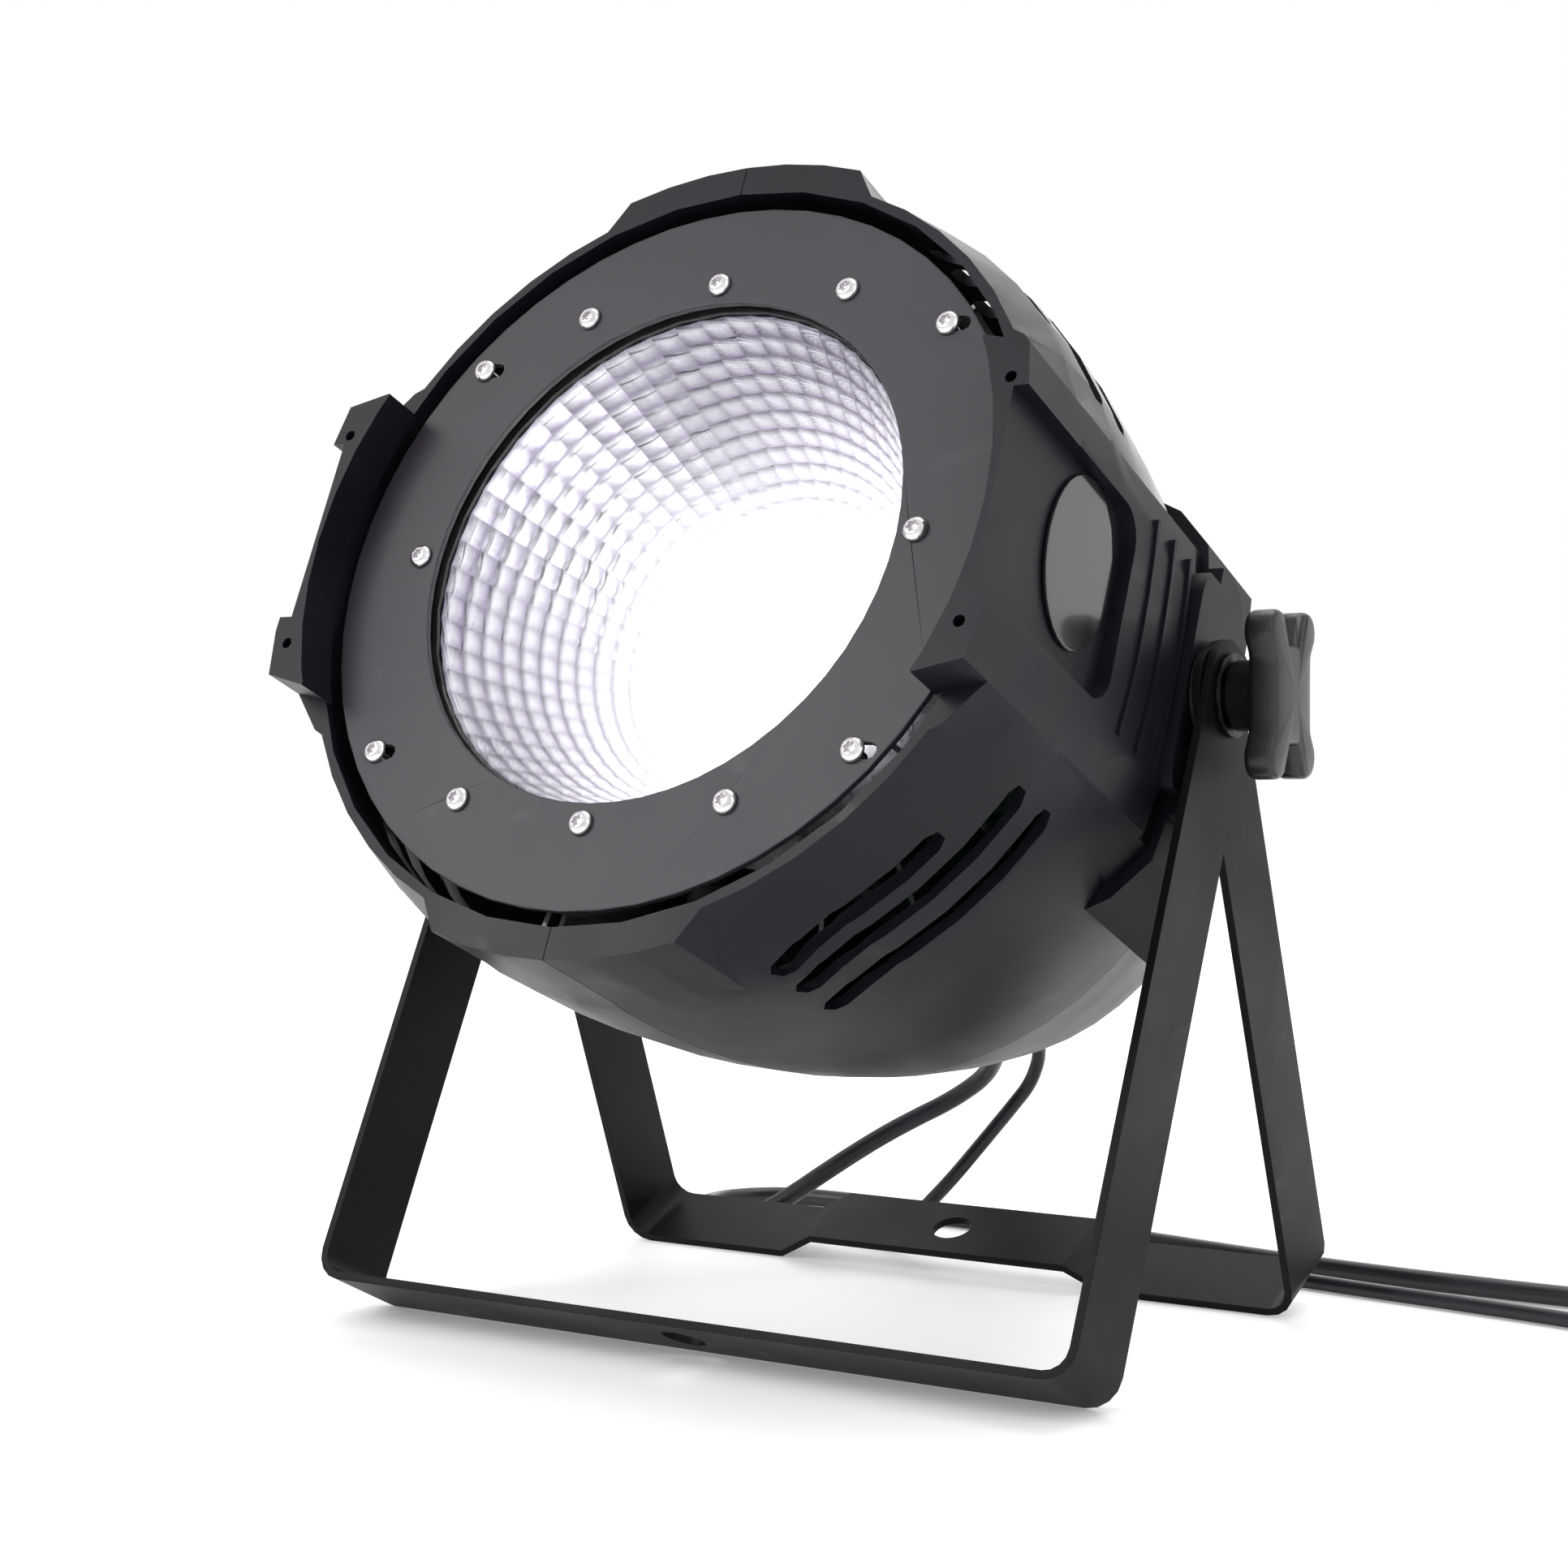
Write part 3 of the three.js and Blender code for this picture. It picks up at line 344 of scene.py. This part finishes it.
def phosphor(name):
    material, shader, tree = new_material(name, (0.95, 0.83, 0.5), 0.5)
    grain = noise_texture(tree, 2000, 2)
    tint(tree, grain, shader, (0.95, 0.78, 0.35), (1, 0.92, 0.68))
    bump(tree, [(grain, 0.3, 0.05)], shader)
    shader.inputs["Emission Color"].default_value = (1.0, 0.97, 0.94, 1)
    shader.inputs["Emission Strength"].default_value = 12
    return material


def painted_lit_mount(name):
    """The LED's pale mount, with painted light: an emission stands in for the flood from the disc in front of
    it.
    """
    material, shader, tree = new_material(name, (0.85, 0.85, 0.87), 0.45)
    cloud = noise_texture(tree, 120, 3)
    vary(tree, cloud, shader, "Roughness", 0.38, 0.55)
    # Painted light: the mount glows in place of the light that the disc throws onto it.
    shader.inputs["Emission Color"].default_value = (1.0, 0.985, 1.0, 1)
    shader.inputs["Emission Strength"].default_value = 2.5
    return material


def circuit_board(name):
    material, shader, tree = new_material(name, (0.02, 0.13, 0.05), 0.45)
    voronoi = tree.nodes.new("ShaderNodeTexVoronoi")
    voronoi.inputs["Scale"].default_value = 350
    tree.links.new(coordinates(tree, (1, 1, 0.3)), voronoi.inputs["Vector"])
    tracks = voronoi.outputs["Distance"]
    tint(tree, tracks, shader, (0.015, 0.1, 0.035), (0.04, 0.24, 0.1))
    bump(tree, [(tracks, 0.3, 0.06)], shader)
    return material


def make_materials():
    return {
        "paint": powder_coat("paint", (0.003, 0.003, 0.006), (0.006, 0.006, 0.011), (0.36, 0.5), 1500, 0.24),
        "plate": powder_coat("plate", (0.024, 0.020, 0.026), (0.036, 0.031, 0.039), (0.4, 0.5), 1800, 0.34),
        "strip": powder_coat("strip", (0.002, 0.002, 0.003), (0.004, 0.004, 0.006), (0.38, 0.52), 1300, 0.13),
        "knob": moulded_plastic("knob", (0.006, 0.006, 0.007), 0.3),
        "plastic": moulded_plastic("plastic", (0.012, 0.012, 0.013), 0.45),
        "rubber": rubber("rubber", (0.009, 0.009, 0.010), 0.6),
        "lead": rubber("lead", (0.008, 0.008, 0.012), 0.42),
        "blackened": plated_steel("blackened", (0.03, 0.03, 0.035), 0.35),
        "steel": plated_steel("steel", (0.62, 0.6, 0.62), 0.2),
        "aluminium": extruded_aluminium("aluminium"),
        "mirror": reflector_mirror("mirror"),
        "glass": clear_glass("glass"),
        "badge": gloss_sheet("badge", (0.007, 0.006, 0.008), 0.12),
        "window": gloss_sheet("window", (0.004, 0.004, 0.006), 0.05),
        "phosphor": phosphor("phosphor"),
        "painted_lit_mount": painted_lit_mount("painted_lit_mount"),
        "board": circuit_board("board"),
    }


# ---------------------------------------------------------------- mesh helpers


def new_piece(name, mesh, material):
    """An object for the mesh, with its material and slot."""
    mesh.polygons.foreach_set("use_smooth", [True] * len(mesh.polygons))
    mesh.materials.append(material)
    piece = bpy.data.objects.new(name, mesh)
    bpy.context.scene.collection.objects.link(piece)
    return piece


def place(piece, matrix, body, *replaced):
    piece.matrix_world = matrix
    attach(piece, body)
    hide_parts(*replaced)


def ring_mesh(name, rings):
    """Skin over rings of points with equal counts, in millimetres, with a flat cap at each end."""
    count = len(rings[0])
    points = [p for ring in rings for p in ring]
    faces = []
    for i in range(len(rings) - 1):
        for k in range(count):
            a, b = i * count + k, i * count + (k + 1) % count
            faces.append((a, b, b + count, a + count))
    faces.append(tuple(reversed(range(count))))
    start = (len(rings) - 1) * count
    faces.append(tuple(range(start, start + count)))
    mesh = bpy.data.meshes.new(name)
    mesh.from_pydata([tuple(c * MM for c in p) for p in points], [], faces)
    return mesh


def face_outwards(mesh):
    bm = bmesh.new()
    bm.from_mesh(mesh)
    bmesh.ops.recalc_face_normals(bm, faces=bm.faces)
    bm.to_mesh(mesh)
    bm.free()


def circle(radius, height, count, phase=0.0):
    turn = 2 * math.pi / count
    angles = [phase + k * turn for k in range(count)]
    return [(radius * math.cos(a), radius * math.sin(a), height) for a in angles]


def lathe(name, profile, count=48):
    """Solid of revolution about z from [radius, height] points, closed by flat caps."""
    mesh = ring_mesh(name, [circle(radius, height, count) for radius, height in profile])
    face_outwards(mesh)
    return mesh


def split_edges(piece, degrees=38):
    """Sharp shading across edges steeper than this."""
    modifier = piece.modifiers.new("crisp", "EDGE_SPLIT")
    modifier.split_angle = math.radians(degrees)
    modifier.use_edge_sharp = False


def soften(piece, width, degrees=38, segments=2):
    modifier = piece.modifiers.new("rounded", "BEVEL")
    modifier.width = width * MM
    modifier.segments = segments
    modifier.limit_method = "ANGLE"
    modifier.angle_limit = math.radians(degrees)
    modifier.use_clamp_overlap = True
    modifier.harden_normals = False


# ---------------------------------------------------------------- CAD nodes that stay


def dress(name, material, bevel=0.0, degrees=38):
    """A CAD node keeps its shape: welded, smooth across shallow edges, with rounded arrises."""
    node = nodes[name]
    mesh = node.data
    mesh.materials.clear()
    mesh.materials.append(material)
    if "custom_normal" in mesh.attributes:
        mesh.attributes.remove(mesh.attributes["custom_normal"])
    mesh.polygons.foreach_set("use_smooth", [True] * len(mesh.polygons))
    weld = node.modifiers.new("weld", "WELD")
    weld.merge_threshold = 0.00002
    if bevel:
        soften(node, bevel, degrees)
    split_edges(node, degrees)
    weights = node.modifiers.new("weights", "WEIGHTED_NORMAL")
    weights.keep_sharp = True


def dress_nodes(m):
    for name in ("housing_left", "housing_right"):
        dress(name, m["paint"], 0, 32)
    dress("rear_cover", m["paint"], 0, 32)
    dress("front_plate", m["plate"], 0.35)
    for name in ("front_yoke", "rear_yoke"):
        dress(name, m["strip"], 0.4, 34)
    for name in ("fan_frame", "fan_rotor"):
        dress(name, m["plastic"], 0)
    for side in ("left", "right"):
        dress(f"badge_{side}", m["badge"], 0.2)
        dress(f"washer_{side}", m["blackened"], 0.15)
        dress(f"friction_disc_{side}", m["rubber"])
        dress(f"stud_{side}", m["steel"])
        dress(f"pivot_nut_{side}", m["steel"], 0.3)
    dress("heat_sink", m["aluminium"])
    dress("cob_holder", m["painted_lit_mount"], 0.3)
    dress("cob_led", m["phosphor"])
    dress("lens_gasket", m["rubber"])
    dress("lens_glass", m["glass"])
    dress("power_board", m["board"])
    dress("control_board", m["board"])
    dress("display_window", m["window"], 0.2)
    for i in range(1, 5):
        dress(f"menu_button_{i}", m["plastic"], 0.2)
    dress("mains_plug", m["plastic"], 0.5)
    dress("signal_plug", m["steel"], 0.2)


# ---------------------------------------------------------------- reflector


def reflector_radius(t):
    return REFLECTOR_THROAT_R + (REFLECTOR_MOUTH_R - REFLECTOR_THROAT_R) * math.sqrt(t)


def make_reflector(m):
    """Bowl of small cushioned facets, crowned towards the axis, with a plain outer wall."""
    fine = FACET_FINE
    columns, rows = FACET_COLUMNS * fine, FACET_ROWS * fine
    points, painted_glow, painted_facet_shading = [], [], []
    for row in range(rows + 1):
        across_row = math.sin(math.pi * (row % fine) / fine)
        t = (row / rows) ** 1.35
        for column in range(columns):
            across_column = math.sin(math.pi * (column % fine) / fine)
            radius = reflector_radius(t) - FACET_CROWN * (across_row + across_column) / 2
            angle = 2 * math.pi * column / columns
            ahead = REFLECTOR_MOUTH - REFLECTOR_DEPTH * (1 - t)
            points.append((radius * math.cos(angle), radius * math.sin(angle), ahead))
            # Painted light from the LED: strongest deep in the bowl and on the side the disc floods.
            facing = max(0.0, math.cos(angle - GLARE_ANGLE))
            painted_glow.append(2.4 * (1 - row / rows) ** 3 + 1.1 * facing ** 3)
            # Painted shade and highlights across each facet: dark at one border, light at the other.
            painted_facet_shading.append((row % fine) / (fine - 1) * (0.55 + 0.45 * across_column))
    mesh = bpy.data.meshes.new("reflector_facets")
    faces = []
    for row in range(rows):
        for column in range(columns):
            a, b = row * columns + column, row * columns + (column + 1) % columns
            faces.append((a, a + columns, b + columns, b))
    mesh.from_pydata([tuple(c * MM for c in p) for p in points], [], faces)
    attribute = mesh.attributes.new("painted_glow", "FLOAT", "POINT")
    attribute.data.foreach_set("value", painted_glow)
    attribute = mesh.attributes.new("painted_facet_shading", "FLOAT", "POINT")
    attribute.data.foreach_set("value", painted_facet_shading)
    mark_facet_borders(mesh, columns, fine)
    piece = new_piece("reflector_facets", mesh, m["mirror"])
    shell = piece.modifiers.new("wall", "SOLIDIFY")
    shell.thickness = 1.0 * MM
    shell.offset = -1
    mesh.materials.append(m["aluminium"])
    shell.material_offset = 1
    shell.material_offset_rim = 1
    place(piece, ahead_frame(0, 0, 0), "head", "reflector")


def mark_facet_borders(mesh, columns, fine):
    """Edges between facets stay sharp, so that each facet catches the light by itself."""
    sharp = []
    for edge in mesh.edges:
        a, b = edge.vertices
        same_row = a // columns == b // columns
        line = a // columns if same_row else a % columns
        sharp.append(line % fine == 0)
    attribute = mesh.attributes.new("sharp_edge", "BOOLEAN", "EDGE")
    attribute.data.foreach_set("value", sharp)


# ---------------------------------------------------------------- screws


def screw_mesh(head_r=3.5, rise=2.3):
    """Pan head with a six-lobed socket."""
    count = 48

    def star(scale, height):
        ring = []
        for k in range(count):
            a = 2 * math.pi * k / count
            r = scale * (1.55 + 0.27 * math.cos(6 * a))
            ring.append((r * math.cos(a), r * math.sin(a), height))
        return ring

    rings = [
        circle(1.5, -5.0, count),
        circle(1.5, 0.3, count),
        circle(head_r, 0.32, count),
        circle(head_r + 0.06, 0.75, count),
        circle(head_r - 0.2, 1.35, count),
        circle(head_r - 0.75, 1.95, count),
        circle(head_r - 1.3, rise, count),
        star(1.08, rise + 0.06),
        star(1.0, rise - 0.1),
        star(0.96, rise - 1.25),
        circle(0.4, rise - 1.5, count),
    ]
    mesh = ring_mesh("screw", rings)
    face_outwards(mesh)
    return mesh


def front_screws():
    def polar(radius, degrees):
        a = math.radians(degrees)
        return radius * math.cos(a), radius * math.sin(a)

    fixed = [polar(AXIAL_SCREW_R, a) for a in (0, 90, 180, 270)]
    fixed += [polar(DIAGONAL_SCREW_R, a) for a in (60, 120, 240, 300)]
    slotted = []
    for sign in (1, -1):
        for a in (SLOT_SCREW_ANGLE, 180 - SLOT_SCREW_ANGLE):
            slotted.append(polar(SLOT_SCREW_R, sign * a))
    return fixed, slotted


def make_screws(m):
    mesh = screw_mesh()
    mesh.polygons.foreach_set("use_smooth", [True] * len(mesh.polygons))
    mesh.materials.append(m["steel"])
    fixed, slotted = front_screws()
    cover = []
    for degrees in COVER_SCREW_ANGLES:
        a = math.radians(degrees)
        cover.append((COVER_SCREW_R * math.cos(a), COVER_SCREW_R * math.sin(a)))
    places = [("plate_screw", fixed, PLATE_FACE, 1), ("adjust_screw", slotted, PLATE_FACE, 1)]
    places.append(("cover_screw", cover, BACK_FACE, -1))
    for kind, centres, face, sign in places:
        for i, (x, up) in enumerate(centres):
            screw = bpy.data.objects.new(f"{kind}_{i + 1}_torx", mesh)
            bpy.context.scene.collection.objects.link(screw)
            split_edges(screw, 50)
            turn = Matrix.Rotation(0.37 * i + 0.2, 4, "Z")
            place(screw, ahead_frame(x, face, up, sign) @ turn, "head", f"{kind}_{i + 1}")


# ---------------------------------------------------------------- knobs


def smooth_min(values, softness):
    """The least of the values, with the corner between them rounded off."""
    total = sum(math.exp(-v / softness) for v in values)
    return -softness * math.log(total)


def knob_field(y, z):
    """Roughly the distance, in millimetres, outside a block with a round lobe at each corner."""
    lobes = math.hypot(abs(y) - LOBE_AT[0], abs(z) - LOBE_AT[1]) - LOBE_R
    block = max(abs(y) - BLOCK_HALF[0], abs(z) - BLOCK_HALF[1])
    return smooth_min([lobes, block], 1.1)


def knob_outline(inset, count=120):
    """Points round the knob, each found by halving the span between its middle and its outside."""
    outline = []
    for k in range(count):
        a = 2 * math.pi * k / count
        low, high = 2.0, 32.0
        for _ in range(26):
            middle = (low + high) / 2
            inside = knob_field(middle * math.cos(a), middle * math.sin(a)) < -inset
            low, high = (middle, high) if inside else (low, middle)
        outline.append((low * math.cos(a), low * math.sin(a)))
    return outline


def knob_mesh():
    steps = [(KNOB_BACK, 1.6), (KNOB_BACK + 0.4, 0.7), (KNOB_BACK + 1.2, 0.15), (KNOB_BACK + 2.0, 0.0)]
    steps += [(KNOB_FACE - 2.0, 0.0), (KNOB_FACE - 1.0, 0.2), (KNOB_FACE - 0.3, 0.8), (KNOB_FACE, 1.8)]
    rings = []
    for x, inset in steps:
        rings.append([(y, z, x) for y, z in knob_outline(inset)])
    crown = rings[-1]
    for share, lift in ((0.72, 0.3), (0.42, 0.5), (0.14, 0.6)):
        rings.append([(y * share, z * share, KNOB_FACE + lift) for y, z, _ in crown])
    under = [(y * 0.5, z * 0.5, KNOB_BACK) for y, z, _ in rings[0]]
    mesh = ring_mesh("knob", [under, *rings])
    face_outwards(mesh)
    return mesh


def collar_mesh():
    profile = [(4.6, COLLAR_BACK), (COLLAR_R - 0.7, COLLAR_BACK), (COLLAR_R, COLLAR_BACK + 0.7)]
    profile += [(COLLAR_R, KNOB_BACK - 1.2), (COLLAR_R + 1.2, KNOB_BACK + 0.2), (5, KNOB_BACK + 0.4)]
    return lathe("collar", profile, 64)


def knob_frame(sign):
    """Maps (y, z, outwards) of a knob's mesh to the row frame, upright on the pivot."""
    axes = Matrix(((0, 0, sign, 0), (1, 0, 0, 0), (0, 1, 0, 0), (0, 0, 0, 1)))
    return Matrix.Translation((0, 0, PIVOT_HEIGHT * MM)) @ axes


def make_knobs(m):
    for side, sign in (("left", -1), ("right", 1)):
        knob = new_piece(f"knob_{side}_lobes", knob_mesh(), m["knob"])
        split_edges(knob, 50)
        place(knob, knob_frame(sign), f"knob_{side}", f"knob_{side}")
        collar = new_piece(f"knob_{side}_collar", collar_mesh(), m["knob"])
        split_edges(collar, 50)
        place(collar, knob_frame(sign), f"knob_{side}", f"knob_{side}")


# ---------------------------------------------------------------- strain reliefs


def gland_profile(bore, length):
    """Round flange, then a tapering sleeve with flexing grooves."""
    profile = [(bore + 3.2, -6), (bore + 3.2, 0.3), (bore + 5.6, 0.3), (bore + 6, 0.8), (bore + 6, 3.4)]
    profile += [(bore + 5.2, 4.0), (bore + 3.4, 4.5)]
    grooves = 6
    for i in range(grooves):
        share = i / grooves
        wall = bore + 3.3 - 1.9 * share
        start = 5.2 + (length - 7) * share
        pitch = (length - 7) / grooves
        profile += [(wall, start), (wall, start + pitch * 0.55)]
        profile += [(wall - 0.8, start + pitch * 0.68), (wall - 0.8, start + pitch * 0.9)]
    profile += [(bore + 1.3, length - 1.2), (bore + 0.8, length), (bore * 0.5, length)]
    return profile


def make_glands(m):
    glands = [("mains", MAINS_AT, MAINS_R, MAINS_GLAND), ("signal", SIGNAL_AT, SIGNAL_R, SIGNAL_GLAND)]
    for name, (x, up), bore, length in glands:
        mesh = lathe(f"{name}_relief", gland_profile(bore, length), 40)
        piece = new_piece(f"{name}_relief", mesh, m["rubber"])
        split_edges(piece, 45)
        place(piece, ahead_frame(x, BACK_FACE, up, -1), "head", f"{name}_gland")


# ---------------------------------------------------------------- leads

MAINS_ROUTE = [
    (-11.4, 118.8, 67.7), (-15.4, 125.4, 62.2), (-21.5, 129.5, 56.3), (-29, 130.7, 50.8), (-37, 128.8, 45.6),
    (-45, 123.8, 40.8), (-53.5, 117, 35.2), (-62, 109.8, 28.8), (-71, 102.8, 21.6), (-79.5, 97.4, 14.8),
    (-88, 94.2, 9), (-96.5, 93, 5), (-105, 93.2, 3.4), (-117.5, 96.8, 3.4), (-127.4, 106.7, 3.4),
    (-131, 120.2, 3.4), (-127.4, 133.7, 3.4), (-117.5, 143.6, 3.4), (-104, 147.2, 3.4), (-80, 147.4, 3.4),
    (-45, 145.6, 3.4), (-10, 142, 3.4), (25, 137, 3.4), (60, 130, 3.4), (95, 123.6, 3.4),
    (130, 119.6, 3.4), (165, 118, 3.4), (200, 118, 3.4), (228, 118.5, 3.4),
]
SIGNAL_ROUTE = [
    (7.4, 114.8, 72.6), (5.7, 119.3, 67.4), (3.2, 121.8, 61.4), (0.2, 121.7, 55.2), (-3.4, 119.1, 49.4),
    (-8.2, 113.8, 41.4), (-13.4, 107.9, 32.8), (-18.6, 102.4, 24.6), (-24, 97.8, 17.2), (-29.5, 95, 10.8),
    (-36, 94, 5.8), (-44, 94.6, 3), (-54, 97.4, 2.6), (-61.6, 105.3, 2.6), (-64.5, 116, 2.6),
    (-61.6, 126.7, 2.6), (-53.8, 134.6, 2.6), (-43, 137.2, 2.6), (-20, 134.6, 2.6), (8, 128, 2.6),
    (45, 116.6, 2.6), (85, 106.4, 2.6), (125, 99, 2.6), (165, 93.4, 2.6), (205, 86.6, 2.6),
    (236, 78.4, 2.6),
]
MAINS_COIL = {
    "centre": (252, 156), "start": -90, "sense": 1, "turns": 3.0,
    "layers": [(37.5, 3.4), (30.9, 3.4), (34.2, 9.1)],
    "heading": 0, "tail": [(12, 9.5), (22, 9.0), (30, 7.4), (33, 7.2)],
}
SIGNAL_COIL = {
    "centre": (250, 44), "start": 75, "sense": -1, "turns": 3.125,
    "layers": [(29.4, 2.6), (24.5, 2.6), (27.0, 6.8)],
    "heading": -60, "tail": [(8, 7.4), (16, 8.8), (22, 9.8), (28, 10.0)],
}
STEPS_PER_TURN = 16


def coil_layer(coil, turn):
    """Radius and height after so many turns: level, then a quick change to the next layer."""
    layers = coil["layers"]
    index = min(int(turn), len(layers) - 1)
    following = min(index + 1, len(layers) - 1)
    share = max(0.0, (turn - index - 0.75) / 0.25) if turn < index + 1 else 0.0
    share = share * share * (3 - 2 * share)
    (r0, z0), (r1, z1) = layers[index], layers[following]
    return r0 + (r1 - r0) * share, z0 + (z1 - z0) * share


def coil_points(coil):
    cx, cy = coil["centre"]
    points = []
    for step in range(int(coil["turns"] * STEPS_PER_TURN) + 1):
        turn = step / STEPS_PER_TURN
        radius, height = coil_layer(coil, turn)
        a = math.radians(coil["start"]) + coil["sense"] * 2 * math.pi * turn
        points.append((cx + radius * math.cos(a), cy + radius * math.sin(a), height))
    heading = math.radians(coil["heading"])
    leave = heading - coil["sense"] * math.pi / 2
    radius = coil["layers"][-1][0]
    for run, height in coil["tail"]:
        x = cx + radius * math.cos(leave) + run * math.cos(heading)
        y = cy + radius * math.sin(leave) + run * math.sin(heading)
        points.append((x, y, height))
    return points


def gland_tip(at, length, beyond):
    """Point on the gland's line, so many millimetres beyond its tip."""
    return in_head(at[0], BACK_FACE - length - beyond, at[1])


def lead_start(at, length):
    """Straight out of the strain relief: just clear of its tip, and a little further."""
    return [gland_tip(at, length, beyond) for beyond in (0.3, 7)]


def make_lead(name, start, route, coil, radius, material):
    points = [Vector(p) for p in start]
    points += [Vector(p) * MM for p in route + coil_points(coil)]
    curve = bpy.data.curves.new(name, "CURVE")
    curve.dimensions = "3D"
    curve.bevel_depth = radius * MM
    curve.bevel_resolution = 5
    curve.resolution_u = 6
    curve.use_fill_caps = True
    spline = curve.splines.new("BEZIER")
    spline.bezier_points.add(len(points) - 1)
    for knot, point in zip(spline.bezier_points, points):
        knot.co = point
        knot.handle_left_type = knot.handle_right_type = "AUTO"
    curve.materials.append(material)
    piece = bpy.data.objects.new(name, curve)
    bpy.context.scene.collection.objects.link(piece)
    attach(piece, "stand")
    return piece


def make_leads(m):
    start = lead_start(MAINS_AT, MAINS_GLAND)
    mains = make_lead("mains_cable", start, MAINS_ROUTE, MAINS_COIL, MAINS_R, m["lead"])
    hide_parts("mains_lead", "mains_lead_coil")
    start = lead_start(SIGNAL_AT, SIGNAL_GLAND)
    signal = make_lead("signal_cable", start, SIGNAL_ROUTE, SIGNAL_COIL, SIGNAL_R, m["lead"])
    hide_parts("signal_lead", "signal_lead_coil")


# ---------------------------------------------------------------- build

make_camera()
materials = make_materials()
make_leads(materials)
make_floor()
make_lights()
dress_nodes(materials)
make_reflector(materials)
make_screws(materials)
make_knobs(materials)
make_glands(materials)
